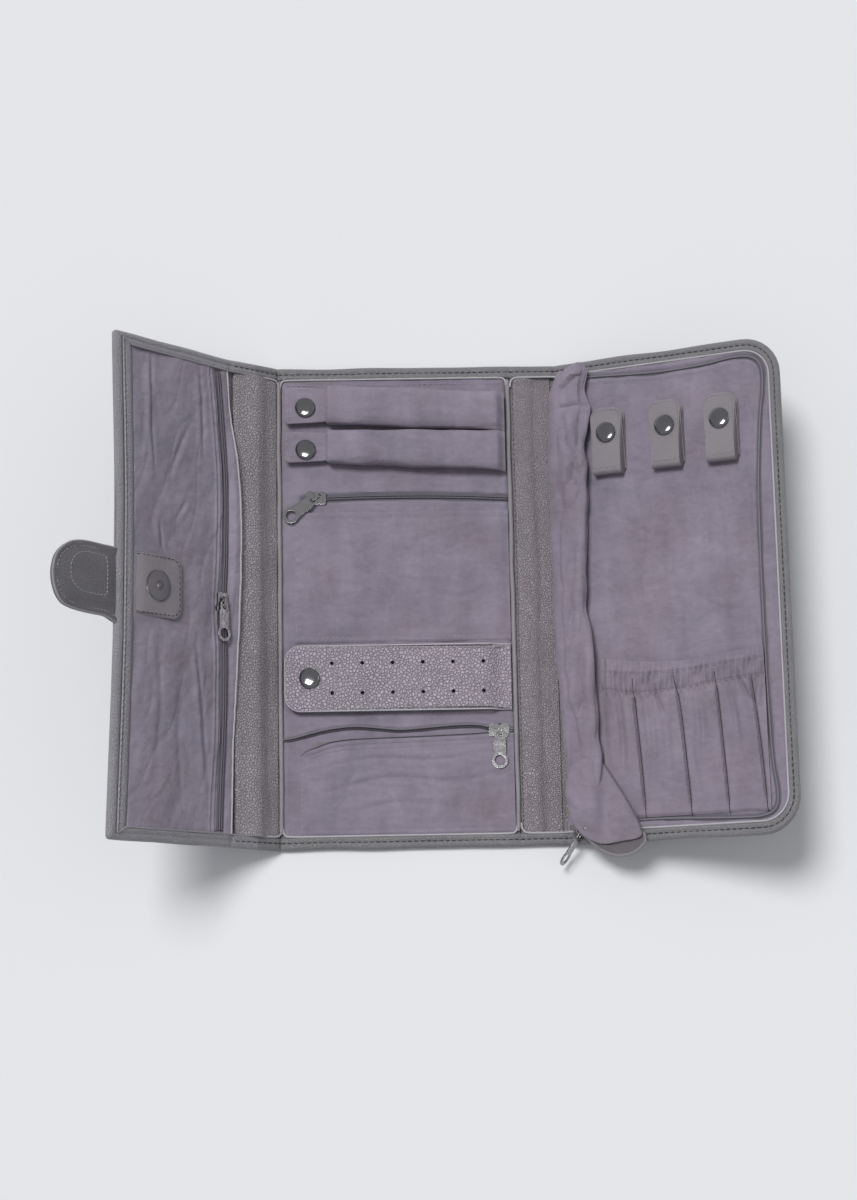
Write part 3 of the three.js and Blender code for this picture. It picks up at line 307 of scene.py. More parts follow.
@dataclass(frozen=True)
class Crease:
    """A fold pressed into cloth along a line that fades at both ends."""

    path: tuple[Pair, ...]
    depth: float = 0.5
    width: float = 1.1
    shoulder: float = 0.5

    def at(self, x: Array, y: Array) -> Array:
        """Gives the crease's height.

        Args:
            x: Places across.
            y: Places along.

        Returns:
            Heights, below 0 in the crease and a little above 0 beside it.
        """
        line = curved(self.path, 2.0)
        near = np.full(x.shape, 1e9)
        share = np.zeros(x.shape)
        side = np.zeros(x.shape)
        last = len(line) - 1
        for i, (a, b) in enumerate(zip(line, line[1:])):
            run = b - a
            px, py = x - a[0], y - a[1]
            t = np.clip((px * run[0] + py * run[1]) / float(run @ run), 0, 1)
            gap = np.hypot(px - t * run[0], py - t * run[1])
            closer = gap < near
            near = np.where(closer, gap, near)
            share = np.where(closer, (i + t) / last, share)
            side = np.where(closer, np.sign(run[0] * py - run[1] * px), side)
        fade = np.sin(math.pi * np.clip(share, 0.02, 0.98)) ** 0.6
        lean = bump(near - 2.2 * self.width, 1.5 * self.width) * (1 + 0.6 * side)
        return self.depth * fade * (self.shoulder * lean - bump(near, self.width))


def uneven(x: Any, y: Any, *waves: tuple[float, ...]) -> Array:
    """Returns the sum at x, y of several Waves, each given as its height and then its settings."""
    return sum(height * Waves(*wave).at(x, y) for height, *wave in waves)


def creased(x: Array, y: Array, creases: Sequence[Crease]) -> Array:
    """Returns the summed heights of several creases."""
    return sum((crease.at(x, y) for crease in creases), np.zeros(x.shape))


# The leaves that the clutch folds along


@dataclass(frozen=True)
class Leaf:
    """One leaf, drawn outward from its fold at rest, in millimetres and degrees."""

    body: str
    x: float
    z: float
    angle: float
    side: int
    flat_x: float
    bow: tuple[Pair, ...] = ((0.0, 0.0),)
    bow_reach: tuple[float, float, float, float] = (30.0, 56.0, 73.0, 80.0)

    def bowed(self, u: Array, y: Array) -> Array:
        """Says how far the free edge strays from straight, fading away from it.

        Args:
            u: Distances from the leaf's fold.
            y: Places along the folds.

        Returns:
            Shifts away from the fold.
        """
        first, full, last, end = self.bow_reach
        share = smooth((u - first) / (full - first)) * smooth((end - u) / (end - last))
        places, shifts = np.array(sorted(self.bow)).T
        return share * np.interp(y, places, shifts)

    def at(self, u: Any, y: Any, h: Any) -> Array:
        """Places points of the leaf.

        Args:
            u: Distances from the fold.
            y: Places along the fold.
            h: Heights above the outer leather's underside.

        Returns:
            Points in metres in the frame.
        """
        turn = math.radians(self.angle)
        cos, sin = math.cos(turn), math.sin(turn)
        above = np.asarray(h, float) - FOLD_H
        u, y = np.broadcast_arrays(np.asarray(u, float), np.asarray(y, float))
        u = u + self.bowed(u, y)
        x = self.x + self.side * (cos * u - sin * above)
        z = self.z + sin * u + cos * above
        return np.stack(np.broadcast_arrays(x, y, z), -1) * MM

    def flat(self, x: Any, y: Any, h: Any) -> Array:
        """Returns points whose x is measured on the whole clutch laid flat."""
        return self.at(self.side * (np.asarray(x, float) - self.flat_x), y, h)


FLAP_BOW = ((120.0, 0.7), (112.0, 0.5), (94.0, 0.0), (75.0, -0.7), (56.0, -1.25), (38.0, -1.5),
            (5.0, -1.45), (-28.0, -1.15), (-56.0, -0.25), (-84.0, 0.95), (-115.0, 2.2), (-120.0, 2.3))
FLAP = Leaf("flap", -81.314, 20.08, 46.0, -1, -88.0, FLAP_BOW)
SPINE_1 = Leaf("spine_1", -58.0, FOLD_H, 39.0, -1, -58.0)
CENTRE = Leaf("centre", 0.0, FOLD_H, 0.0, 1, 0.0)
SPINE_2 = Leaf("spine_2", 58.0, FOLD_H, 0.0, 1, 58.0)
PANEL = Leaf("right_panel", 81.0, FOLD_H, 24.0, 1, 81.0)
FOLDS = ((-88.0, SPINE_1), (-58.0, CENTRE), (58.0, SPINE_2), (81.0, PANEL))
FOLD_SOFTNESS = 3.0


def strip(x: Any, y: Any, h: Any) -> Array:
    """Places points of the whole clutch, laid flat and then bent softly at its folds.

    Args:
        x: Places across the flat clutch.
        y: Places along the folds.
        h: Heights above the outer leather's underside.

    Returns:
        Points in metres in the frame.
    """
    x = np.asarray(x, float)
    point = FLAP.flat(x, y, h)
    for fold, leaf in FOLDS:
        share = smooth((x - fold + FOLD_SOFTNESS) / (2 * FOLD_SOFTNESS))
        share = np.broadcast_to(share, point.shape[:-1])[..., None]
        point = point * (1 - share) + leaf.flat(x, y, h) * share
    return point


# Finishes


class Value:
    """A socket of numbers that takes part in ordinary arithmetic."""

    def __init__(self, shader: "Shader", socket: Any) -> None:
        """Wraps a socket of the shader."""
        self.shader = shader
        self.socket = socket

    def math(self, operation: str, left: Any, right: Any = 0.0) -> "Value":
        """Returns the outcome of one Math node."""
        node = self.shader.node("ShaderNodeMath", {"operation": operation}, {0: left, 1: right})
        return Value(self.shader, node.outputs[0])

    def __add__(self, other: Any) -> "Value":
        """Returns self + other."""
        return self.math("ADD", self, other)

    __radd__ = __add__

    def __sub__(self, other: Any) -> "Value":
        """Returns self - other."""
        return self.math("SUBTRACT", self, other)

    def __rsub__(self, other: Any) -> "Value":
        """Returns other - self."""
        return self.math("SUBTRACT", other, self)

    def __mul__(self, other: Any) -> "Value":
        """Returns self * other."""
        return self.math("MULTIPLY", self, other)

    __rmul__ = __mul__

    def __pow__(self, other: Any) -> "Value":
        """Returns self raised to other."""
        return self.math("POWER", self, other)

    def clamped(self) -> "Value":
        """Returns self kept between 0 and 1."""
        return self.math("MAXIMUM", self.math("MINIMUM", self, 1.0), 0.0)


class Shader:
    """A material under construction."""

    def __init__(self, name: str) -> None:
        """Starts a material with one Principled shader.

        Args:
            name: The material's name.
        """
        self.material = bpy.data.materials.new(name)
        self.material.use_nodes = True
        self.tree = self.material.node_tree
        self.tree.nodes.clear()
        self.surface = self.node("ShaderNodeBsdfPrincipled")
        self.node("ShaderNodeOutputMaterial", None, {"Surface": self.surface.outputs[0]})
        self.place = self.node("ShaderNodeTexCoord").outputs["Object"]

    def node(self, kind: str, settings: dict[str, Any] | None = None,
             sockets: dict[Any, Any] | None = None) -> Any:
        """Adds one node.

        Args:
            kind: The node's type.
            settings: Its properties, which are set first; "stops" holds a ramp's stops.
            sockets: Values or links of its sockets, by name or number.

        Returns:
            The new node.
        """
        made = self.tree.nodes.new(kind)
        for key, value in (settings or {}).items():
            if key == "stops":
                for element, (position, colour) in zip(made.color_ramp.elements, value):
                    element.position = position
                    element.color = (*colour, 1.0)
            else:
                setattr(made, key, value)
        for key, value in (sockets or {}).items():
            self.feed(made.inputs[key], value)
        return made

    def feed(self, socket: Any, value: Any) -> None:
        """Links or sets one socket.

        Args:
            socket: The input socket.
            value: A Value, an output socket, a number or a colour.
        """
        if isinstance(value, Value):
            value = value.socket
        if isinstance(value, bpy.types.NodeSocket):
            self.tree.links.new(value, socket)
        elif isinstance(value, tuple) and len(value) == 3 and socket.type == "RGBA":
            socket.default_value = (*value, 1.0)
        else:
            socket.default_value = value

    def stretched(self, scale: Triple, turn: float = 0.0) -> Any:
        """Scales the place vector and turns it about z.

        Args:
            scale: Factor for each axis.
            turn: Turn in degrees.

        Returns:
            The vector's socket.
        """
        node = self.node("ShaderNodeMapping", None, {
            "Vector": self.place, "Rotation": (0.0, 0.0, math.radians(turn)), "Scale": scale})
        return node.outputs[0]

    def noise(self, scale: float, detail: float = 2.0, rough: float = 0.5, warp: float = 0.0,
              vector: Any = None) -> Value:
        """Adds a noise.

        Args:
            scale: Blotches in a metre.
            detail: Layers of finer noise.
            rough: Strength of the finer layers.
            warp: Distortion.
            vector: Where it is read, or None for the object's own place.

        Returns:
            The noise, from 0 to 1.
        """
        node = self.node("ShaderNodeTexNoise", None, {
            "Vector": self.place if vector is None else vector, "Scale": scale,
            "Detail": detail, "Roughness": rough, "Distortion": warp})
        return Value(self, node.outputs[0])

    def cells(self, scale: float, vector: Any = None) -> Value:
        """Adds random cells.

        Args:
            scale: Cells in a metre.
            vector: Where they are read, or None for the object's own place.

        Returns:
            The distance to the nearest edge between cells.
        """
        node = self.node("ShaderNodeTexVoronoi", {"feature": "DISTANCE_TO_EDGE"}, {
            "Vector": self.place if vector is None else vector, "Scale": scale})
        return Value(self, node.outputs["Distance"])

    def mixed(self, factor: Any, low: Any, high: Any) -> Any:
        """Returns the colour between low and high."""
        node = self.node("ShaderNodeMix", {"data_type": "RGBA"}, {0: factor, 6: low, 7: high})
        return node.outputs[2]

    def toned(self, factor: Any, colour: Triple, low: float, high: float) -> Any:
        """Returns the colour made low to high times as light."""
        return self.mixed(factor, shaded(colour, low), shaded(colour, high))

    def bumped(self, height: Any, distance: float, strength: float = 1.0,
               rounding: float = 0.0) -> Any:
        """Adds a relief to the surface.

        Args:
            height: The relief, from 0 to 1.
            distance: How high it is, in metres.
            strength: How much of it shows.
            rounding: Radius in metres that sharp edges are rounded by.

        Returns:
            The normal over the relief.
        """
        sockets = {"Strength": strength, "Distance": distance, "Height": height}
        if rounding:
            edge = self.node("ShaderNodeBevel", {"samples": 6}, {"Radius": rounding})
            sockets["Normal"] = edge.outputs[0]
        return self.node("ShaderNodeBump", None, sockets).outputs[0]

    def finish(self, **sockets: Any) -> Any:
        """Sets the Principled shader's sockets.

        Args:
            **sockets: Values by the socket's name, with _ for a blank.

        Returns:
            The material.
        """
        for key, value in sockets.items():
            self.feed(self.surface.inputs[key.replace("_", " ")], value)
        return self.material


def shaded(colour: Triple, factor: float) -> Triple:
    """Returns the colour made lighter or darker."""
    return tuple(min(1.0, part * factor) for part in colour)


@dataclass(frozen=True)
class Finish:
    """What a piece is made of, with the record's slot that it stands for."""

    name: str
    slot: str
    colour: Triple

    def build(self) -> Any:
        """Returns a new material; each kind of finish makes its own."""
        raise NotImplementedError

    def material(self) -> Any:
        """Returns the finish's one material."""
        return bpy.data.materials.get(self.name) or self.build()


@dataclass(frozen=True)
class Leather(Finish):
    """Pebbled leather with pores between its grains."""

    grain: float = 1.25
    relief: float = 0.16
    roughness: float = 0.46
    tone_and_highlight: float = 0.26

    def build(self) -> Any:
        """Makes the leather.

        Returns:
            The material.
        """
        shader = Shader(self.name)
        warp = shader.node("ShaderNodeVectorMath", {"operation": "MULTIPLY_ADD"}, {
            0: shader.node("ShaderNodeTexNoise", None, {
                "Vector": shader.place, "Scale": 500.0, "Detail": 1.0}).outputs[1],
            1: (0.0008, 0.0008, 0.0008), 2: shader.place}).outputs[0]
        cells = shader.cells(1000 / self.grain, warp)
        pebble = (cells * 4.5).clamped() ** 0.55
        pores = shader.noise(3600, 2, 0.6)
        broad = shader.noise(46, 3, 0.55)
        # Pebble tops are drawn lighter and the pores between them darker: painted highlight and painted shade on the
        # grain, mixed with a random broad tone.
        tone = (broad * 0.55 + pebble * 0.3 + pores * 0.15).clamped()
        colour = shader.toned(tone, self.colour, 1 - self.tone_and_highlight, 1 + self.tone_and_highlight)
        height = pebble * 0.8 + pores * 0.16 + broad * 0.4
        return shader.finish(
            Base_Color=colour, Roughness=(self.roughness + 0.2 * (0.8 - pebble)).clamped(),
            Normal=shader.bumped(height, self.relief * MM), Specular_IOR_Level=0.5,
            Sheen_Weight=0.04)


@dataclass(frozen=True)
class Suede(Finish):
    """Brushed suede: mottled, with a fine nap that catches light."""

    mottle: float = 0.24
    turn: float = 30.0
    cool: Triple = (0.76, 0.80, 0.82)
    warm: Triple = (0.86, 0.79, 0.76)

    def build(self) -> Any:
        """Makes the suede.

        Returns:
            The material.
        """
        shader = Shader(self.name)
        clouds = shader.noise(34, 4, 0.6, 0.5)
        brushed = shader.noise(95, 3, 0.6, 0.3, shader.stretched((1.0, 0.3, 0.6), self.turn))
        nap = shader.noise(2100, 2, 0.7)
        fine = shader.noise(420, 3, 0.65)
        strokes = shader.noise(210, 4, 0.6, 1.2, shader.stretched((0.35, 1.0, 0.6), self.turn + 50))
        tone = (clouds * 1.3 + brushed * 1.1 + strokes * 0.9 + fine * 0.5 + nap * 0.3
                - 1.55).clamped()
        warm = (shader.noise(26, 3, 0.6) * 2.2 - 0.6).clamped()
        low = shader.mixed(warm, *(tuple(part * share for part, share in zip(self.colour, tint))
                                   for tint in (self.cool, self.warm)))
        colour = shader.mixed(tone, low, shaded(self.colour, 1 + self.mottle))
        height = fine * 0.6 + nap * 0.25 + brushed * 0.9 + strokes * 0.7
        return shader.finish(
            Base_Color=colour, Roughness=0.93, Normal=shader.bumped(height, 0.45 * MM, 0.8),
            Specular_IOR_Level=0.2, Sheen_Weight=0.22, Sheen_Roughness=0.45)


@dataclass(frozen=True)
class Woven(Finish):
    """Closely woven zip tape or board facing, as a fine weave."""

    threads: float = 1400.0
    relief: float = 0.08

    def build(self) -> Any:
        """Makes the weave.

        Returns:
            The material.
        """
        shader = Shader(self.name)
        rows = [Value(shader, shader.node("ShaderNodeTexWave", {"bands_direction": axis}, {
            "Vector": shader.place, "Scale": self.threads / 20, "Distortion": 0.6,
            "Detail": 1.0}).outputs[1]) for axis in ("X", "Y")]
        weave = rows[0] * 0.5 + rows[1] * 0.5
        patchy = shader.noise(160, 3, 0.6)
        tone = (weave * 0.5 + patchy * 0.6).clamped()
        colour = shader.toned(tone, self.colour, 0.75, 1.22)
        return shader.finish(Base_Color=colour, Roughness=0.88,
                             Normal=shader.bumped(weave, self.relief * MM, 0.7),
                             Specular_IOR_Level=0.25)


@dataclass(frozen=True)
class Moulded(Finish):
    """Smooth drawn plastic or thread with a slight gloss."""

    roughness: float = 0.45
    spots: float = 900.0

    def build(self) -> Any:
        """Makes the plastic or thread.

        Returns:
            The material.
        """
        shader = Shader(self.name)
        grain = shader.noise(self.spots, 2, 0.5)
        colour = shader.toned(grain, self.colour, 0.8, 1.2)
        return shader.finish(
            Base_Color=colour, Roughness=(self.roughness + 0.15 * grain).clamped(),
            Normal=shader.bumped(grain, 0.03 * MM, 0.5))


@dataclass(frozen=True)
class Metal(Finish):
    """Polished plated metal with faint scuffs."""

    roughness: float = 0.16
    dent: float = 0.03
    dents: float = 260.0
    rounding: float = 0.3

    def build(self) -> Any:
        """Makes the metal.

        Returns:
            The material.
        """
        shader = Shader(self.name)
        scuffs = shader.noise(700, 3, 0.7, 0.8)
        wear = shader.noise(150, 2, 0.5)
        colour = shader.toned(wear, self.colour, 0.86, 1.14)
        return shader.finish(
            Base_Color=colour, Metallic=1.0,
            Roughness=(self.roughness + 0.10 * scuffs ** 2.0).clamped(),
            Normal=shader.bumped(scuffs * 0.02 + shader.noise(self.dents, 1) * 1.0,
                                 self.dent * MM, 1.0, self.rounding * MM))


SHELL = Leather("shell_leather", "grey_leather", (0.207, 0.201, 0.212), 1.2, 0.28, 0.44)
# The flap's leather is a lighter copy of the shell leather, painted light; the two shades meet in the middle of spine
# 1.
LIT_FLAP_SHELL = Leather("flap_shell_leather", "grey_leather", (0.285, 0.276, 0.300), 1.2, 0.34, 0.42)
# Lighter leather for beads and cut edges: a painted highlight on their rounded tops.
EDGE = Leather("edge_leather", "grey_leather", (0.44, 0.425, 0.45), 1.0, 0.10, 0.42)
FINE = Leather("spine_leather", "grey_leather", (0.325, 0.294, 0.322), 1.25, 0.60, 0.38, 0.46)
BUMPY = Leather("strap_leather", "grey_leather", (0.378, 0.332, 0.385), 1.5, 0.66, 0.38, 0.36)
BUMPY_SPINE = Leather("spine_2_leather", "grey_leather", (0.285, 0.254, 0.281), 1.05, 0.50, 0.36,
                      0.30)
PIPING = Leather("piping_leather", "grey_leather", (0.285, 0.272, 0.287), 0.9, 0.16, 0.40)
TAB = Leather("tab_leather", "grey_leather", (0.240, 0.220, 0.242), 0.8, 0.14, 0.42)
# Dark leather for the lip under the loose corner: its darkness is painted shade in the hollow there.
LIP = Leather("lid_lip_leather", "grey_leather", (0.150, 0.134, 0.150), 0.8, 0.2, 0.44)
TAB_DARK = Leather("closure_leather", "grey_leather", (0.146, 0.139, 0.155), 0.8, 0.30, 0.44, 0.42)
SUEDE = Suede("lining_suede", "suede", (0.238, 0.208, 0.262))
# A lighter copy of the lining suede for the tilted flap; the extra lightness is painted light.
LIT_FLAP_SUEDE = Suede("flap_suede_finish", "suede", (0.266, 0.238, 0.296), 0.24, 75.0)
LID_SUEDE = Suede("lid_suede", "suede", (0.246, 0.213, 0.268), 0.20, -20.0)
# Near-black suede that paints the shade in the lower zip's opening.
SHADE_SUEDE = Suede("pocket_inside", "suede", (0.085, 0.076, 0.092), 0.2)
TAPE = Woven("zip_tape", "zip_tape", (0.165, 0.150, 0.180))
COIL = Moulded("zip_coil", "zip_tape", (0.125, 0.115, 0.137), 0.4)
# A lighter copy of the coil: painted light on chains that catch the light.
LIT_COIL = Moulded("pale_zip_coil", "zip_tape", (0.190, 0.176, 0.205), 0.4)
SHELL_THREAD = Moulded("shell_thread", "grey_leather", (0.040, 0.039, 0.043), 0.7)
TAB_THREAD = Moulded("tab_thread", "grey_leather", (0.205, 0.192, 0.207), 0.7)
PALE_THREAD = Moulded("pale_thread", "grey_leather", (0.37, 0.36, 0.38), 0.7)
SUEDE_THREAD = Moulded("suede_thread", "suede", (0.36, 0.33, 0.38), 0.75)
GUNMETAL = Metal("gunmetal", "dark_metal", (0.25, 0.25, 0.26), 0.12)
NICKEL = Metal("nickel", "polished_metal", (0.36, 0.355, 0.36), 0.16, 0.09, 300.0)
DISC_METAL = Metal("disc_metal", "polished_metal", (0.185, 0.180, 0.195), 0.50, 0.02, 260.0, 0.0)
BOARD = Woven("board_fibre", "stiffener_board", (0.20, 0.18, 0.17), 600.0, 0.1)


# Meshes


def new_piece(name: str, points: Array, faces: list[Sequence[int]], finish: Finish,
              sharp: float = 42.0) -> Any:
    """Makes an object from a closed mesh, with its faces turned outward.

    Args:
        name: The piece's name.
        points: Corners in metres.
        faces: Corner numbers of each face.
        finish: What it is made of.
        sharp: Angle in degrees above which an edge isn't shaded smooth.

    Returns:
        The object.
    """
    mesh = bpy.data.meshes.new(name)
    mesh.from_pydata(np.asarray(points, float).reshape(-1, 3).tolist(), [], faces)
    work = bmesh.new()
    work.from_mesh(mesh)
    bmesh.ops.recalc_face_normals(work, faces=work.faces)
    if work.calc_volume(signed=True) < 0:
        bmesh.ops.reverse_faces(work, faces=work.faces)
    work.to_mesh(mesh)
    work.free()
    mesh.shade_smooth()
    mesh.set_sharp_from_angle(angle=math.radians(sharp))
    mesh.materials.append(finish.material())
    piece = bpy.data.objects.new(name, mesh)
    bpy.context.scene.collection.objects.link(piece)
    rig.slot(piece, finish.slot)
    return piece


def grid_faces(numbers: Array) -> list[list[int]]:
    """Returns the quads over a grid of corner numbers."""
    quads = np.stack([numbers[:-1, :-1], numbers[1:, :-1], numbers[1:, 1:], numbers[:-1, 1:]], -1)
    return quads.reshape(-1, 4).tolist()


def tube_faces(rings: int, points: int) -> list[list[int]]:
    """Lists the faces of a closed tube.

    Args:
        rings: Number of rings.
        points: Points on each ring.

    Returns:
        The faces, with both ends closed.
    """
    numbers = np.arange(rings * points).reshape(rings, points)
    sides = grid_faces(np.hstack([numbers, numbers[:, :1]]))
    return sides + [numbers[0].tolist(), numbers[-1][::-1].tolist()]


def wall_faces(above: Array, below: Array) -> list[list[int]]:
    """Returns the quads between two closed loops of corner numbers."""
    return np.stack([above, np.roll(above, -1), np.roll(below, -1), below], -1).tolist()


def closed_sheet(name: str, top: Array, bottom: Array, finish: Finish) -> Any:
    """Makes a closed sheet from two grids of points.

    Args:
        name: The piece's name.
        top: Points of the upper side, in rows and columns.
        bottom: Points of the lower side, in the same rows and columns.
        finish: What it is made of.

    Returns:
        The object.
    """
    n, m = top.shape[:2]
    upper = np.arange(n * m).reshape(n, m)
    rim = np.concatenate([upper[0, :], upper[1:, -1], upper[-1, -2::-1], upper[-2:0:-1, 0]])
    faces = grid_faces(upper) + grid_faces(upper[::-1] + n * m) + wall_faces(rim, rim + n * m)
    return new_piece(name, np.stack([top, bottom]), faces, finish)


def loft(name: str, rings: Array, finish: Finish, sharp: float = 42.0) -> Any:
    """Returns a closed body through rings of equally many points."""
    return new_piece(name, rings, tube_faces(*rings.shape[:2]), finish, sharp)


def joined(name: str, pieces: Sequence[Any]) -> Any:
    """Joins closed meshes into one object under the first one's finish.

    Args:
        name: Name of the joined piece.
        pieces: The objects, which go.

    Returns:
        The joined object.
    """
    first = pieces[0]
    work = bmesh.new()
    for piece in pieces:
        work.from_mesh(piece.data)
    work.to_mesh(first.data)
    work.free()
    for piece in pieces[1:]:
        bpy.data.objects.remove(piece)
    first.name = name
    first.data.name = name
    return first


def sideways(line: Array) -> Array:
    """Finds the directions across a line.

    Args:
        line: Points of the line, drawn in a plane.

    Returns:
        Unit vectors, to the left of the line's way.
    """
    along = np.gradient(line, axis=0)
    along /= np.linalg.norm(along, axis=1)[:, None] + 1e-12
    return np.stack([-along[:, 1], along[:, 0]], -1)


def raised(line: Array, height: Any) -> Array:
    """Returns a line drawn across and along with its height, one for all or one a point."""
    return np.column_stack([line, np.broadcast_to(height, len(line))])


def swept(name: str, place: Place, line: Array, height: Any, section: Array, finish: Finish,
          swell: Any = 1.0, sharp: float = 60.0) -> Any:
    """Sweeps a section along a line drawn on a leaf.

    Args:
        name: The piece's name.
        place: Turns across, along and height into a point.
        line: Points of the line, across and along.
        height: Height of the section's origin, one for all or one a point.
        section: Closed section as pairs of sideways and upward distance.
        finish: What it is made of.
        swell: Scale of the section, one for all or one a point.
        sharp: Angle in degrees above which an edge isn't shaded smooth.

    Returns:
        The object.
    """
    swell, height = (np.broadcast_to(v, len(line))[:, None] for v in (swell, height))
    side, up = (section[None, :, i] * swell for i in (0, 1))
    x, y = (line[:, i:i + 1] + sideways(line)[:, i:i + 1] * side for i in (0, 1))
    return loft(name, place(x, y, height + up), finish, sharp)


def circle(radius: float, count: int = 10, flat: float = 1.0) -> Array:
    """Returns a round section, squashed by flat in height."""
    turn = np.linspace(0, 2 * math.pi, count, endpoint=False)
    return np.stack([radius * np.cos(turn), radius * flat * np.sin(turn)], -1)


def ribbon(half: float, thick: float) -> Array:
    """Returns the section of a tape, of half its width and half its thickness."""
    return np.array([(-half, -thick), (half, -thick), (half + 0.1, 0.0), (half, thick),
                     (-half, thick), (-half - 0.1, 0.0)])


def thread_row(name: str, place: Place, lines: Sequence[Array], finish: Finish,
               pitch: float = 3.0, length: float = 2.1, width: float = 0.5) -> Any:
    """Lays stitches along lines.

    Args:
        name: The piece's name.
        place: Turns across, along and height into a point.
        lines: Lines of points across, along and height.
        finish: What the thread is made of.
        pitch: Distance from stitch to stitch.
        length: Length of a stitch.
        width: Width of the thread.

    Returns:
        One object that holds every stitch.
    """
    turn = np.linspace(0, 2 * math.pi, 6, endpoint=False)
    rings = [(-0.5, 0.45), (-0.3, 0.95), (0.3, 0.95), (0.5, 0.45)]
    shape = np.array([(s * length, r * width / 2 * math.cos(a), r * width / 2 * math.sin(a))
                      for s, r in rings for a in turn])
    part = tube_faces(len(rings), len(turn))
    along, across, up = shape.T
    points, faces = [], []
    for line in lines:
        spots = resample(line, pitch)
        middle = (spots[:-1] + spots[1:]) / 2
        ahead = np.diff(spots, axis=0)
        ahead /= np.linalg.norm(ahead, axis=1)[:, None] + 1e-12
        for (x, y, h), (dx, dy, dh) in zip(middle, ahead):
            start = len(points) * len(shape)
            faces += [[number + start for number in face] for face in part]
            points.append(place(x + dx * along - dy * across, y + dy * along + dx * across,
                                h + dh * along + up))
    return new_piece(name, np.concatenate(points), faces, finish, 80.0)


HOLE_POINTS = 14


@dataclass
class Plate:
    """A flat piece with rounded edges, cut to an outline, that may have holes and may be bent."""

    outline: Array
    low: float
    high: float
    edge: float = 0.45
    spacing: float = 2.0
    holes: Sequence[Triple] = ()
    crown: Crown | None = None
    bend: Bend | None = None

    def inset(self, distance: float) -> Array:
        """Moves the outline inward.

        Args:
            distance: How far, for an outline that runs anticlockwise.

        Returns:
            The moved outline.
        """
        before = self.outline - np.roll(self.outline, 1, axis=0)
        after = np.roll(self.outline, -1, axis=0) - self.outline
        before /= np.linalg.norm(before, axis=1)[:, None]
        after /= np.linalg.norm(after, axis=1)[:, None]
        normal = np.stack([-(before + after)[:, 1], (before + after)[:, 0]], -1)
        size = np.linalg.norm(normal, axis=1)
        return self.outline + distance * normal / size[:, None] * (2 / np.maximum(size, 1.2))[:, None]

    def faces(self, rim: Array) -> tuple[Array, list[list[int]], list[list[int]]]:
        """Fills the inside of the rim, with the holes left out.

        Args:
            rim: The loop to fill.

        Returns:
            The points, of which the first are the rim's, the triangles, and each hole's loop.
        """
        loops, points = [list(range(len(rim)))], rim.tolist()
        for x, y, radius in self.holes:
            loops.append(list(range(len(points), len(points) + HOLE_POINTS)))
            points += (circle(radius, HOLE_POINTS) + (x, y)).tolist()
        low, high = rim.min(0) + self.spacing / 2, rim.max(0)
        for x in np.arange(low[0], high[0], self.spacing):
            for y in np.arange(low[1], high[1], self.spacing):
                gap = np.hypot(rim[:, 0] - x, rim[:, 1] - y).min()
                clear = all(math.hypot(x - a, y - b) > r + 0.6 for a, b, r in self.holes)
                if gap > 0.45 * self.spacing and clear and inside(rim, x, y):
                    points.append([x, y])
        edges = [(a, b) for loop in loops for a, b in zip(loop, loop[1:] + loop[:1])]
        found = delaunay_2d_cdt([Vector(p) for p in points], edges, [loops[0]], 1, 1e-6)
        where = np.array([list(p) for p in found[0]])
        kept = []
        for face in found[2]:
            middle = where[list(face)].mean(0)
            if all(math.hypot(middle[0] - a, middle[1] - b) > r * 0.96 for a, b, r in self.holes):
                kept.append(list(face))
        names = {given: i for i, source in enumerate(found[3]) for given in source}
        order = [[names[i] for i in loop] for loop in loops]
        return where, kept, order

    def build(self, name: str, place: Place, finish: Finish) -> Any:
        """Makes the plate: two faces, four rows of points round the edge and the holes' walls.

        Args:
            name: The piece's name.
            place: Turns across, along and height into a point.
            finish: What it is made of.

        Returns:
            The object.
        """
        where, kept, loops = self.faces(self.inset(self.edge))
        edge, soft = self.edge, 0.3 * self.edge
        levels = [(where, self.high), (where, self.low),
                  (self.inset(soft), self.high - soft), (self.outline, self.high - edge),
                  (self.outline, self.low + edge), (self.inset(soft), self.low + soft)]
        x, y, h = np.concatenate([raised(*level) for level in levels]).T
        rim, *holes = (np.array(loop) for loop in loops)
        size, count = len(rim), len(where)
        if self.crown is not None:
            h = h + np.repeat([1, 0, 1, 0], [count, count, 2 * size, 2 * size]) * self.crown(x, y)
        if self.bend is not None:
            x, y, h = self.bend(x, y, h)
        faces = kept + [[i + count for i in reversed(face)] for face in kept]
        rings = [rim, *(2 * count + np.arange(4 * size).reshape(4, size)), rim + count]
        for above, below in [*zip(rings, rings[1:]), *((hole, hole + count) for hole in holes)]:
            faces += wall_faces(above, below)
        return new_piece(name, place(x, y, h), faces, finish, 50.0)


def inside(loop: Array, x: float, y: float) -> bool:
    """Tests whether a point lies inside a loop.

    Args:
        loop: Points of the closed loop.
        x: The point's place across.
        y: The point's place along.

    Returns:
        True inside it.
    """
    after = np.roll(loop, -1, axis=0)
    crosses = (loop[:, 1] > y) != (after[:, 1] > y)
    rise = np.where(crosses, after[:, 1] - loop[:, 1], 1.0)
    at = loop[:, 0] + (y - loop[:, 1]) / rise * (after[:, 0] - loop[:, 0])
    return bool(np.count_nonzero(crosses & (x < at)) % 2)


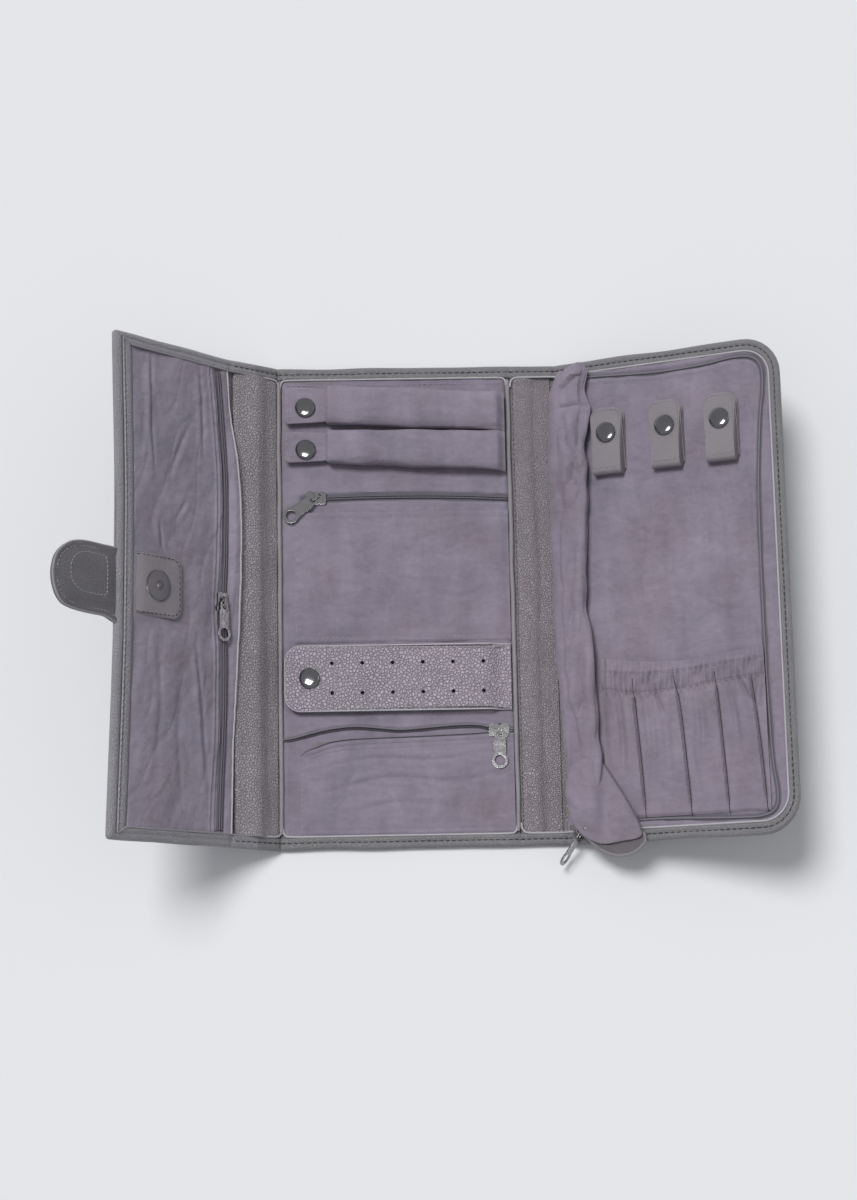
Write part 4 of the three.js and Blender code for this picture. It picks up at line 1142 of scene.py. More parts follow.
def rounded(corners: Sequence[Triple], step: float = 12.0) -> Array:
    """Draws a closed outline with rounded corners.

    Args:
        corners: Corners as x, y and radius, anticlockwise.
        step: Degrees between points on a corner.

    Returns:
        The outline's points.
    """
    out = []
    for i, (x, y, radius) in enumerate(corners):
        here = np.array([x, y])
        ways = [np.array(corners[k][:2]) - here for k in (i - 1, (i + 1) % len(corners))]
        to_last, to_next = (way / np.linalg.norm(way) for way in ways)
        half = math.acos(max(-1.0, min(1.0, float(to_last @ to_next)))) / 2
        if radius < 0.05 or half > 1.55:
            out.append(here)
            continue
        middle = (to_last + to_next) / np.linalg.norm(to_last + to_next)
        centre = here + middle * radius / math.sin(half)
        dx, dy = here + to_last * radius / math.tan(half) - centre
        sweep = math.pi - 2 * half
        count = max(2, round(math.degrees(sweep) / step))
        for turn in sweep * np.arange(count + 1) / count:
            cos, sin = math.cos(turn), math.sin(turn)
            out.append(centre + np.array([cos * dx - sin * dy, sin * dx + cos * dy]))
    return np.array(out)


def loop_area(loop: Array) -> float:
    """Returns a loop's area, above 0 where it runs anticlockwise."""
    after = np.roll(loop, -1, axis=0)
    return float((loop[:, 0] * after[:, 1] - after[:, 0] * loop[:, 1]).sum() / 2)


def anticlockwise(loop: Array) -> Array:
    """Returns the loop, turned round where it runs clockwise."""
    return loop[::-1] if loop_area(loop) < 0 else loop


def turned(name: str, profile: Sequence[Pair], leaf: Leaf, u: float, y: float,
           finish: Finish, count: int = 40) -> Any:
    """Turns a profile about the normal of a leaf.

    Args:
        name: The piece's name.
        profile: Radius and height, from the axis at the bottom round to the axis at the top.
        leaf: The leaf that it stands on.
        u: Its place across.
        y: Its place along.
        finish: What it is made of.
        count: Points round it.

    Returns:
        The object.
    """
    rings = [leaf.at(*(circle(max(radius, 0.02), count) + (u, y)).T, height)
             for radius, height in profile]
    return loft(name, np.stack(rings), finish, 35.0)


# Sub-assemblies


@dataclass
class Assembly:
    """A group of pieces that main builds, dresses and reports."""

    pieces: dict[str, Any] = field(default_factory=dict, init=False)

    def keep(self, piece: Any) -> Any:
        """Notes a piece as part of the group and returns it."""
        self.pieces[piece.name] = piece
        return piece

    def ride(self, body: str, *names: str) -> None:
        """Rides the named pieces on a body, or all where none is named."""
        for name in names or self.pieces:
            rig.ride(self.pieces[name], body)

    def replace(self, **nodes: str) -> None:
        """Says which node of the frame each piece stands for."""
        for name, node in nodes.items():
            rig.replaces(self.pieces[name], node)

    def build(self) -> None:
        """Makes the group's meshes."""
        raise NotImplementedError

    def dress(self) -> None:
        """Says what each piece rides on, replaces and is declared as."""
        raise NotImplementedError

    def make(self) -> None:
        """Builds and dresses the group, and reports each piece."""
        self.build()
        self.dress()
        for name, piece in self.pieces.items():
            LOG.info("%s: %d faces", name, len(piece.data.polygons))


# Inset and height over the turned edge, from the underside round to the inside: first along the
# folds' ends, then along the flap's free edge, which has two bands with a seam between them
LONG_ROWS = ((3.0, 0.0), (1.6, 0.04), (0.7, 0.35), (0.15, 0.95), (0.0, 1.8), (0.2, 2.65),
             (0.75, 3.3), (1.5, 3.68), (2.3, 3.78), (2.85, 3.6), (3.3, 3.38), (3.75, 3.6),
             (4.5, 3.88), (5.2, 3.92), (5.8, 3.75), (6.15, 3.4), (6.2, 2.4), (6.2, 1.25))
FLAP_ROWS = ((3.0, 0.0), (1.6, 0.04), (0.7, 0.35), (0.15, 0.95), (0.0, 1.8), (0.2, 2.75),
             (0.9, 3.6), (2.2, 4.05), (3.6, 3.85), (4.35, 3.35), (4.75, 3.0), (5.2, 3.4),
             (6.3, 4.0), (7.9, 4.1), (9.2, 3.8), (9.9, 3.3), (10.0, 2.4), (10.0, 1.25))
PANEL_ROWS = tuple((inset * 0.8, height) for inset, height in LONG_ROWS)
SIDES = (1, -1)


class End(Enum):
    """Where a length of the shell ends in a free edge."""

    NONE = 0
    LEFT = -1
    RIGHT = 1


@dataclass
class Skin:
    """One length of the outer leather, with its edges turned up and in as a border."""

    name: str
    start: float
    stop: float
    bodies: tuple[str, str]
    fold: float
    replaced: tuple[str, ...]
    end: End = End.NONE
    radius: float = 0.0
    end_rows: tuple[Pair, ...] = LONG_ROWS
    rows_across: int = 45
    remap_length: float = 26.0
    finish: Finish = SHELL

    def stations(self) -> Array:
        """Spaces the columns, close together at a fold.

        Returns:
            Places across, from the cut to the free edge or the other cut.
        """
        marks = [self.start]
        folds = [fold for fold, _ in FOLDS]
        while marks[-1] < self.stop - 0.3:
            near = min(abs(marks[-1] + 0.4 - fold) for fold in folds)
            marks.append(min(marks[-1] + (0.75 if near < 4.6 else 2.4), self.stop))
        marks = np.array(marks)
        return marks[::-1] if self.end is End.LEFT else marks

    def ring(self, row: int) -> Trio:
        """Finds one row of the border.

        Args:
            row: Which row, from the underside on.

        Returns:
            Place across and half length of each column, and the height of each column.
        """
        inset, height = LONG_ROWS[row]
        marks = self.stations()
        long_half = HALF_HEIGHT - inset
        if self.end is End.NONE:
            return marks, np.full(len(marks), long_half), np.full(len(marks), height)
        end_inset, end_height = self.end_rows[row]
        side = self.end.value
        tip = self.start if side < 0 else self.stop
        radius = max(self.radius - (inset + end_inset) / 2, 0.3)
        corner = tip - side * end_inset - side * radius
        fixed = tip - side * self.remap_length
        kept = marks[(marks - fixed) * side < 0]
        moving = fixed + (corner - fixed) * np.linspace(0, 1, 9)[:-1]
        turn = np.linspace(math.pi / 2, 0, 9)
        across = np.concatenate([kept, moving, corner + side * radius * np.cos(turn)])
        turn = np.concatenate([np.full(len(kept) + 8, turn[0]), turn])
        half = long_half - radius + radius * np.sin(turn)
        return across, half, height + (end_height - height) * (1 - turn / turn[0])

    def build(self) -> Any:
        """Makes the closed mesh of this length.

        Returns:
            The object.
        """
        fractions = np.linspace(1, -1, self.rows_across)
        points, columns, rows = [], len(self.ring(0)[0]), len(LONG_ROWS)
        for row in range(rows):
            x, half, h = (part[:, None] for part in self.ring(row))
            x, y, h = np.broadcast_arrays(x, half * fractions, h)
            if 0 < row < rows - 1:
                x, y, h = (part[self.path(columns)] for part in (x, y, h))
            dip = sum(bump(x - fold, 1.4) for fold, _ in FOLDS)
            sewn = uneven(x, y, (0.10, 3, 42.0), (0.05, 5, 7.0)) - 0.45 * dip
            h = h + smooth((h - 2.2) / 1.2) * sewn
            y = y + np.sign(y) * uneven(x, 0 * y, (0.22, 3, 42.0))
            points.append(strip(x, y, h).reshape(-1, 3))
        return new_piece(self.name, np.concatenate(points), self.faces(columns, rows), self.finish)

    def path(self, columns: int) -> tuple[Array, Array]:
        """Walks the grid's rim from cut to cut.

        Args:
            columns: Number of columns in the grid.

        Returns:
            Column and row numbers of the rim.
        """
        last = self.rows_across - 1
        side = [(columns - 1, j) for j in range(1, last)] if self.end is not End.NONE else []
        rim = [(k, 0) for k in range(columns)] + side + [(k, last) for k in reversed(range(columns))]
        return tuple(np.array(rim).T)

    def faces(self, columns: int, rows: int) -> list[list[int]]:
        """Lists the corner numbers of every face.

        Args:
            columns: Number of columns in the grids.
            rows: Number of rows over the border.

        Returns:
            The faces.
        """
        m = self.rows_across
        grid = np.arange(columns * m).reshape(columns, m)
        k, j = self.path(columns)
        length = len(k)
        rings = grid.size + np.arange((rows - 2) * length).reshape(-1, length)
        inner = grid + grid.size + rings.size
        bands = np.vstack([grid[k, j], rings, inner[k, j]])
        faces = grid_faces(grid) + grid_faces(inner)
        cuts, walls = [slice(0, length)], [(0, (0, length - 1))]
        if self.end is End.NONE:
            cuts = [slice(0, columns), slice(columns, length)]
            walls.append((columns - 1, (columns - 1, columns)))
        for cut in cuts:
            faces += grid_faces(bands[:, cut])
        for column, ends in walls:
            faces += grid_faces(np.stack([grid[column], inner[column]]))
            faces += [bands[:, spot].tolist() for spot in ends]
        return faces


def mirrored(half: Any) -> Array:
    """Returns a line over one half of the clutch with its mirror image after it."""
    half = np.array(half)
    return np.vstack([half, half[::-1] * [1, -1, 1][:half.shape[1]]])


def quarter(edge: float, top: float, radius: float, count: int) -> Array:
    """Returns the rounded corner between an edge along the folds and one across them."""
    turn = np.linspace(0, math.pi / 2, count)
    return np.stack([edge - radius + radius * np.sin(turn), top - radius + radius * np.cos(turn)], -1)


@dataclass
class Shell(Assembly):
    """The outer leather of all five leaves, with its seams and the bead inside its border, in a lighter leather that
    paints a highlight.
    """

    cut_flap: float = -73.0
    cut_panel: float = 69.5
    blend_reach: float = 3.4
    bead_radius: float = 0.5
    bead_inset: float = 6.25
    bead_height: float = 3.8
    seam_height: float = 3.46
    seam_inset: float = 3.3
    panel_edge: float = 196.0

    def skins(self) -> list[Skin]:
        """Sets out the four lengths, each over one fold.

        Returns:
            The lengths.
        """
        return [
            # The flap's length takes the lighter copy of the leather, which paints light on the flap.
            Skin("shell_flap", -160.0, self.cut_flap, ("flap", "spine_1"), -88.0,
                 ("flap_leather",), End.LEFT, 2.0, FLAP_ROWS, finish=LIT_FLAP_SHELL),
            Skin("shell_left", self.cut_flap, 0.0, ("spine_1", "centre"), -58.0,
                 ("spine_1_leather",)),
            Skin("shell_right", 0.0, self.cut_panel, ("centre", "spine_2"), 58.0,
                 ("centre_leather",)),
            Skin("shell_panel", self.cut_panel, self.panel_edge, ("spine_2", "right_panel"), 81.0,
                 ("spine_2_leather", "panel_leather"), End.RIGHT, 18.0, PANEL_ROWS),
        ]

    def beads(self) -> dict[str, list[Array]]:
        """Draws the bead's runs.

        Returns:
            Lines across and along, by the name of their length.
        """
        y = HALF_HEIGHT - self.bead_inset
        flap = mirrored([(self.cut_flap, y), (-86.6, y), (-89.5, y - 0.2), (-148, y), (-149.9, y),
                         (-155.2, y + 3.0), (-155.25, y)])
        left = [[(self.cut_flap, s * y), (-63, s * y), (-60.2, s * (y - 0.4)),
                 (-58.7, s * (y - 1.9)), (-58.3, s * (y - 5))] for s in SIDES]
        left += [[(-56.3, s * (y - 4)), (-56.0, s * (y - 1.5)), (-54.6, s * (y - 0.2)),
                  (-51, s * y), (0, s * y)] for s in SIDES]
        right = [[(-a if a < 0 else a, b) for a, b in line] for line in left]
        for line in right[:2]:
            line[0] = (self.cut_panel, line[0][1])
        edge = self.panel_edge - self.bead_inset * 0.82
        corner = quarter(edge, y, 12.8, 10)
        panel = np.vstack([[(self.cut_panel, y), (79.6, y), (83, y - 0.2), (100, y),
                            (edge - 14.8, y)], corner])
        panel = np.vstack([panel, [(edge, 0)], mirrored(panel)[len(panel):]])
        return {"shell_flap": [flap], "shell_left": [np.array(line) for line in left],
                "shell_right": [np.array(line) for line in right], "shell_panel": [panel]}

    def seams(self) -> dict[str, list[Array]]:
        """Draws the seams.

        Returns:
            Lines across, along and height, by the name of their length.
        """
        top = HALF_HEIGHT - self.seam_inset
        lines = {}
        for name, first, last in (("shell_flap", self.cut_flap, -86),
                                  ("shell_left", self.cut_flap, 0),
                                  ("shell_right", 0, self.cut_panel)):
            across = np.linspace(first, last, max(2, int(abs(last - first))))
            lines[name] = [np.stack([across, np.full(len(across), s * top)], -1) for s in SIDES]
        corner = quarter(self.panel_edge - self.seam_inset * 0.8, top, 18 - self.seam_inset * 0.9, 12)
        lines["shell_panel"] = [mirrored(np.vstack([[(self.cut_panel, top), (177.5, top)], corner]))]
        return {name: [raised(line, self.seam_height) for line in found]
                for name, found in lines.items()}

    def build(self) -> None:
        """Makes the four lengths with their seams and beads."""
        beads, seams = self.beads(), self.seams()
        for skin in self.skins():
            name, bead, rows = skin.name, EDGE, [("_seam", seams[skin.name], SHELL_THREAD)]
            if skin.end is End.LEFT:
                bead, y = PIPING, np.linspace(113.5, -113.5, 120)
                groove = raised(np.stack([0 * y - 155.25, y], -1), 4.15)
                rows.append(("_pale_seam", [groove], PALE_THREAD))
            self.keep(skin.build())
            for part, lines, thread in rows:
                self.keep(thread_row(name + part, strip, lines, thread, width=0.62))
            # The beads take the lighter edge leather, a painted highlight; the flap's bead takes the piping leather.
            runs = [swept("run", strip, resample(line, 0.9), self.bead_height,
                          circle(self.bead_radius, 8), bead) for line in beads[name]]
            self.keep(joined(name + "_bead", runs))

    def dress(self) -> None:
        """Bends each length over its fold."""
        for skin in self.skins():
            start, stop = (strip(skin.fold + reach, 0.0, FOLD_H)
                           for reach in (-self.blend_reach, self.blend_reach))
            for name, piece in self.pieces.items():
                if name == skin.name or name.startswith(skin.name + "_"):
                    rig.blend(piece, *skin.bodies, start=tuple(start), end=tuple(stop))
            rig.replaces(self.pieces[skin.name], *skin.replaced)


@dataclass
class Spine(Assembly):
    """The soft leather facing of a spine, drawn in to the piping beside the centre panel."""

    number: int = 1
    flat_x: float = -58.0
    width: float = 27.4
    crease: float = 12.4
    half: float = 113.8
    bulges: tuple[Triple, ...] = ((15.0, 5.6, 2.4),)
    crease_depth: float = 0.12
    sunk: float = 0.0

    @property
    def side(self) -> int:
        """Returns -1 for the spine left of the centre, 1 for the other."""
        return -1 if self.flat_x < 0 else 1

    def height(self, s: Array, y: Array) -> Array:
        """Gives the facing's height.

        Args:
            s: Distances from the fold beside the centre.
            y: Places along the folds.

        Returns:
            Heights over the leaf.
        """
        out = 3.3 + sum(rise * bump(s - at, reach) for at, reach, rise in self.bulges)
        out = out - self.sunk * smooth((s - 9) / 5)
        wander = self.crease + uneven(0 * s, y, (0.8, 60 + self.number, 60.0, 5))
        out = out - self.crease_depth * bump(s - wander, 1.1)
        out = out + uneven(s, y * 0.8, (0.05, 40 + self.number, 9.0, 8, 0.0, 0.12))
        out = out + uneven(s, y * 0.6, (0.02, 50 + self.number, 3.4, 8, 0.0, 0.25))
        near = smooth(s / 2.2)
        far = smooth((self.width - s) / 1.8)
        return 2.3 + (out - 2.3) * near * (0.35 + 0.65 * far)

    def build(self) -> None:
        """Makes the facing and the stitches at its foot."""
        s = np.concatenate([np.linspace(0.15, 3, 8), np.linspace(3.6, self.width - 2.4, 34),
                            np.linspace(self.width - 2, self.width, 7)])
        y = np.linspace(-self.half, self.half, 230)
        grid_s, grid_y = np.meshgrid(s, y, indexing="ij")
        top = self.height(grid_s, grid_y)
        x = self.flat_x + self.side * grid_s
        leather = FINE if self.number == 1 else BUMPY_SPINE
        name = f"spine_facing_{self.number}"
        self.keep(closed_sheet(name, strip(x, grid_y, top), strip(x, grid_y, top - 0.9), leather))
        line_y = np.linspace(-self.half + 2, self.half - 2, 60)
        row = np.stack([np.full(60, self.flat_x + self.side * 1.5), line_y,
                        self.height(np.full(60, 1.5), line_y) + 0.05], -1)
        self.keep(thread_row(name + "_seam", strip, [row], SHELL_THREAD, 2.6, 1.7, 0.35))

    def dress(self) -> None:
        """Bends the facing into the centre panel at its fold."""
        body = f"spine_{self.number}"
        near, far = (tuple(strip(self.flat_x + self.side * reach, 0.0, FOLD_H))
                     for reach in (-0.4, 4.0))
        for piece in self.pieces.values():
            if self.side < 0:
                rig.blend(piece, body, "centre", start=far, end=near)
            else:
                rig.blend(piece, "centre", body, start=near, end=far)
        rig.replaces(self.pieces[f"spine_facing_{self.number}"], f"{body}_facing")


@dataclass
class Piping(Assembly):
    """The two raised leather cords beside the centre panel."""

    x: float = 57.0
    half: float = 112.6
    height: float = 3.35

    def build(self) -> None:
        """Makes both cords, a little uneven as sewn leather is."""
        for name, side in (("left", -1), ("right", 1)):
            y = np.linspace(-self.half, self.half, 240)
            line = np.stack([side * self.x + uneven(0 * y, y, (0.10, 70 + side, 30.0)), y], -1)
            ends = np.minimum(1, 0.55 + 0.45 * smooth((self.half - np.abs(y)) / 1.5))
            swell = ends * (1 + uneven(0 * y, y, (0.05, 72, 6.0)))
            section = circle(1.12, 12) * np.array([1.0, 1.25])
            self.keep(swept(f"piping_{name}", CENTRE.at, line, self.height, section, PIPING, swell))

    def dress(self) -> None:
        """Rides both cords on the centre panel."""
        self.ride("centre")
        for name, piece in self.pieces.items():
            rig.replaces(piece, f"centre_{name}")


def height_sheet(name: str, place: Place, xs: Array, low: Any, high: Any, rows: int,
                 height: Crown, thick: float, finish: Finish) -> Any:
    """Makes a thin sheet whose upper side follows a height over a leaf.

    Args:
        name: The piece's name.
        place: Turns across, along and height into a point.
        xs: Places across, one a column.
        low: Lower end of each column, or one for all.
        high: Upper end of each column, or one for all.
        rows: Points along a column.
        height: Gives the height at x, y.
        thick: Thickness.
        finish: What it is made of.

    Returns:
        The object.
    """
    low = np.broadcast_to(np.asarray(low, float), xs.shape)[:, None]
    high = np.broadcast_to(np.asarray(high, float), xs.shape)[:, None]
    y = low + (high - low) * np.linspace(0, 1, rows)[None, :]
    x = np.repeat(xs[:, None], rows, 1)
    top = height(x, y)
    return closed_sheet(name, place(x, y, top), place(x, y, top - thick), finish)


def waved(*wave: float) -> Crown:
    """Returns a crown of one of uneven's waves."""
    return lambda x, y: uneven(x, y, wave)


def bent(place: Place, bend: Bend) -> Place:
    """Returns the place of points that are bent first."""
    return lambda x, y, h: place(*bend(x, y, h))


def along_line(line: Array, x: Array) -> Array:
    """Returns the second coordinate of a line where its first one is x."""
    order = np.argsort(line[:, 0])
    return np.interp(x, line[order, 0], line[order, 1])


UPPER_ZIP = curved([(-46, 52.4), (-39, 52.9), (-25, 53.4), (0, 53.7), (30, 53.2), (55.4, 51.9)])
LOWER_ZIP_TOP = curved([(-57.0, -66.6), (-50, -65.6), (-38.1, -62.6), (-28, -61.0), (-18.7, -60.7),
    (-8, -61.7), (0.6, -62.5), (10, -62.0), (20, -61.2), (30, -60.6), (39.4, -60.9), (46.5, -62.9)])
LOWER_ZIP_FOOT = curved([(-47.6, -74.6), (-44.6, -72.0), (-39.6, -70.2), (-32, -67.8), (-20, -66.6),
    (-2.3, -66.1), (16.1, -65.6), (34, -65.0), (46.5, -64.2)])
UPPER_SEAM = curved([(-45.4, 45.2), (-48.0, 42.4), (-48.7, 36), (-48.9, 22.2), (-49.2, -2),
    (-49.0, -14.6)])
LOWER_SEAM = curved([(-45.9, -74.8), (-46.4, -82), (-46.9, -97), (-47.3, -112.6)])


@dataclass
class CentreLining(Assembly):
    """The suede lining of the centre panel, sunk at its two zips."""

    half: float = 56.1

    def height(self, x: Array, y: Array) -> Array:
        """Gives the lining's height, sunk at both zips.

        Args:
            x: Places across.
            y: Places along the folds.

        Returns:
            Heights over the leaf.
        """
        out = LINING_TOP + uneven(x, y, (0.16, 11, 46.0), (0.10, 12, 17.0, 8, 60.0, 0.7))
        right = smooth((x + 47.5) / 1.5)
        upper = along_line(UPPER_ZIP, x)
        out = out - 1.0 * right * smooth((2.3 - np.abs(y - upper)) / 0.7)
        out = out + 0.22 * right * bump(np.abs(y - upper) - 3.3, 0.8)
        top, foot = along_line(LOWER_ZIP_TOP, x), along_line(LOWER_ZIP_FOOT, x)
        open_left = smooth((x + 56.5) / 1.0)
        foot = np.where(x < -47.6, -66.6 - 8.0 * smooth((x + 57) / 10), foot)
        well = smooth((top + 0.6 - y) / 0.9) * smooth((y - foot + 0.6) / 0.9)
        out = out - 0.75 * open_left * well
        out = out + 0.28 * bump(y - top - 1.3, 0.7) * open_left
        side = smooth((self.half - np.abs(x)) / 1.3)
        return out - 1.0 * (1 - side)

    def build(self) -> None:
        """Makes the lining."""
        xs = np.linspace(-self.half, self.half, 150)
        self.keep(height_sheet("centre_suede", CENTRE.at, xs, -INNER_HALF, INNER_HALF, 300,
                               self.height, 0.6, SUEDE))
        row = np.array([(-53.6, 110.9, 3.5), (53.5, 110.9, 3.5)])
        self.keep(thread_row("centre_suede_seam", CENTRE.at, [row], SUEDE_THREAD, 2.6, 1.6, 0.32))

    def dress(self) -> None:
        self.ride("centre")
        lining = self.pieces["centre_suede"]
        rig.replaces(lining, "centre_lining")
        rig.sheet(lining, flat=(2 * self.half * MM, 2 * INNER_HALF * MM), held="laid",
                 rests_on=["centre_board"], with_pieces=[self.pieces["centre_suede_seam"]])


UPPER_CREASES = (
    Crease(((-30, 34), (-14, 20), (-4, 2)), 0.35, 1.2),
    Crease(((-6, 36), (8, 24), (26, 18)), 0.3, 1.3),
    Crease(((14, 8), (30, 2), (46, 8)), 0.3, 1.2),
    Crease(((-40, 6), (-24, -6), (-8, -8)), 0.3, 1.2),
    Crease(((34, 38), (40, 22), (38, 6)), 0.25, 1.2),
)
LOWER_CREASES = (
    Crease(((-42, -82), (-14, -76.5), (18, -77.5), (48, -73)), 0.45, 1.1),
    Crease(((-38, -93), (-6, -86), (26, -88), (50, -84)), 0.5, 1.3),
    Crease(((-30, -104), (-2, -98), (30, -101)), 0.4, 1.3),
    Crease(((6, -82), (16, -93), (14, -108)), 0.3, 1.2),
    Crease(((-20, -80), (-26, -94), (-22, -106)), 0.25, 1.2),
)


@dataclass
class Pocket(Assembly):
    """A flat slip pocket on the centre lining, sewn down on three sides."""

    name: str = "upper"
    left: float = -50.0
    right: float = 55.6
    bottom: float = -19.4
    top: float = 45.8
    seam: Array = field(default_factory=lambda: UPPER_SEAM)
    creases: tuple[Crease, ...] = ()
    rise: float = 0.55

    def edge_top(self, x: Array) -> Array:
        """Finds the upper edge, which the lower pocket draws down to its zip.

        Args:
            x: Places across.

        Returns:
            Where the edge lies along the folds.
        """
        if self.name == "upper":
            return np.full(x.shape, self.top) - 1.5 * bump(x - self.left, 1.5)
        return along_line(LOWER_ZIP_FOOT, np.maximum(x, -47.6)) - 0.9

    def height(self, x: Array, y: Array) -> Array:
        """Gives the height of the pocket's cloth.

        Args:
            x: Places across.
            y: Places along the folds.

        Returns:
            Heights over the leaf.
        """
        seed = 21 if self.name == "upper" else 26
        inner = smooth((x - self.left - 1.2) / 6) * smooth((self.right - x) / 5)
        inner = inner * smooth((y - self.bottom - 3) / 6)
        inner = inner * (0.3 + 0.7 * smooth((self.edge_top(x) - y) / 12))
        out = 4.0 + inner * (self.rise + uneven(x, y, (0.30, seed, 38.0)))
        out = out + (0.4 + 0.6 * inner) * uneven(x, y, (0.15, seed + 1, 13.0, 8, 70.0, 0.8))
        out = out + creased(x, y, self.creases) + self.pucker(x, y)
        out = out - 0.13 * inner * Waves(seed + 2, 24.0, 9, 65.0, 0.9).lines(x, y, 0.12)
        low = np.minimum(x - self.left, y - self.bottom)
        fold = bump(self.edge_top(x) - y - 1.0, 1.1) * 0.3
        seam = 0.25 * bump(y - self.bottom - 2.6, 0.7)
        side = along_line(self.seam[:, ::-1], y)
        seam = seam + 0.25 * bump(x - side, 0.7) * (y > self.bottom + 1)
        return out - seam + fold - 0.45 * (1 - smooth(low / 1.0))

    def pucker(self, x: Array, y: Array) -> Array:
        """Gathers the cloth beside the left seam and folds it under the edge.

        Args:
            x: Places across.
            y: Places along the folds.

        Returns:
            What the gathers and folds add to the height.
        """
        side = along_line(self.seam[:, ::-1], y)
        draw = uneven(x, y, (0.22, 29, 5.0, 8, 90.0, 0.3))
        out = draw * bump(x - side - 1.6, 1.8) * (y > self.bottom + 1)
        below = self.edge_top(x) - y
        lines = (2.4, 4.6) if self.name == "lower" else (3.4,)
        fold = sum(0.3 * bump(below - at, 0.45) for at in lines)
        return out - fold * smooth((x - side - 2) / 4)

    def build(self) -> None:
        """Makes the pocket and its seam."""
        xs = np.linspace(self.left, self.right, 120)
        name = f"{self.name}_pocket_suede"
        self.keep(height_sheet(name, CENTRE.at, xs, self.bottom, self.edge_top(xs), 90,
                               self.height, 0.6, SUEDE))
        foot = np.stack([np.linspace(self.left + 2.6, 54.0, 60), np.full(60, self.bottom + 2.6)], -1)
        lines = [self.seam] + ([foot] if self.name == "upper" else [])
        rows = [raised(line, self.height(*line.T) + 0.10) for line in lines]
        self.keep(thread_row(name + "_seam", CENTRE.at, rows, SUEDE_THREAD, 2.5, 1.6, 0.36))

    def dress(self) -> None:
        self.ride("centre")
        name = f"{self.name}_pocket_suede"
        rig.replaces(self.pieces[name], f"{self.name}_pocket")
        tall = float(self.edge_top(np.array([0.0]))[0]) - self.bottom
        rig.sheet(self.pieces[name], flat=((self.right - self.left) * MM, tall * MM), held="laid",
                 rests_on=["centre_suede"],
                 with_pieces=[self.pieces[name + "_seam"]])


def coil(name: str, place: Place, line: Array, height: Any, radius: float = 0.55,
         pitch: float = 1.0, finish: Finish = COIL) -> Any:
    """Makes one half of a coil zip's chain, ribbed along a line.

    Args:
        name: The piece's name.
        place: Turns across, along and height into a point.
        line: Line of the chain, across and along.
        height: Height of its middle, one for all or one a point.
        radius: Its radius.
        pitch: Distance from rib to rib.
        finish: What it is made of.

    Returns:
        The object.
    """
    fine = resample(line, pitch / 5)
    ribs = 0.84 + 0.16 * np.cos(2 * math.pi * np.arange(len(fine)) / 5)
    if np.ndim(height):
        height = np.interp(np.linspace(0, 1, len(fine)), np.linspace(0, 1, len(height)), height)
    return swept(name, place, fine, height, circle(radius, 7), finish, ribs, 75.0)


def offset(line: Array, distance: float) -> Array:
    """Returns a line moved sideways."""
    return line + distance * sideways(line)


@dataclass
class CentreZips(Assembly):
    """The closed upper zip and the lower zip, whose halves part towards the left."""

    gap: float = 0.52
    height: float = 3.55

    def build(self) -> None:
        """Makes tapes and chains."""
        upper = resample(UPPER_ZIP, 2)
        self.keep(swept("upper_zip_tape", CENTRE.at, upper, 2.7, ribbon(2.2, 0.2), TAPE))
        self.keep(joined("upper_zip_coil", [
            coil("half", CENTRE.at, offset(UPPER_ZIP, side * self.gap), self.height)
            for side in SIDES]))
        tapes = ((offset(LOWER_ZIP_TOP, 1.7), 2.85), (offset(LOWER_ZIP_FOOT, -1.7), 3.5))
        self.keep(joined("lower_zip_tape", [
            swept("tape", CENTRE.at, resample(line, 2), level, ribbon(1.5, 0.2), TAPE)
            for line, level in tapes]))
        # A dark suede strip under the top chain paints the shade in the zip's opening.
        self.keep(swept("lower_zip_gap", CENTRE.at, offset(LOWER_ZIP_TOP, -1.0)[2:-4], 3.15,
                        circle(0.5, 8, 0.5), SHADE_SUEDE))
        ends = 3.35 + 0.75 * smooth(np.linspace(0, 1, 40) * 8)
        closed = [curved([(50.6, left), (55.4, right)])
                  for left, right in ((-62.9, -63.0), (-64.0, -64.0))]
        # The top chain takes the lighter coil, painted light above the painted shade of the opening; the foot chain
        # keeps the darker coil.
        self.keep(joined("lower_zip_coil", [
            coil("half", CENTRE.at, LOWER_ZIP_TOP, ends, 0.58, 1.0, LIT_COIL),
            coil("half", CENTRE.at, LOWER_ZIP_FOOT, ends, 0.30),
            *(coil("half", CENTRE.at, line, self.height) for line in closed)]))

    def dress(self) -> None:
        """Rides the zips on the centre panel."""
        self.ride("centre")
        self.replace(upper_zip_coil="upper_zip", lower_zip_coil="lower_zip")


def distance_to(line: Array, x: Array, y: Array) -> Array:
    """Measures how far places lie from a line.

    Args:
        line: Points of the line.
        x: Places across.
        y: Places along the folds.

    Returns:
        The distances.
    """
    near = np.full(x.shape, 1e9)
    for a, b in zip(line, line[1:]):
        run = b - a
        t = np.clip(((x - a[0]) * run[0] + (y - a[1]) * run[1]) / float(run @ run), 0, 1)
        near = np.minimum(near, np.hypot(x - a[0] - t * run[0], y - a[1] - t * run[1]))
    return near


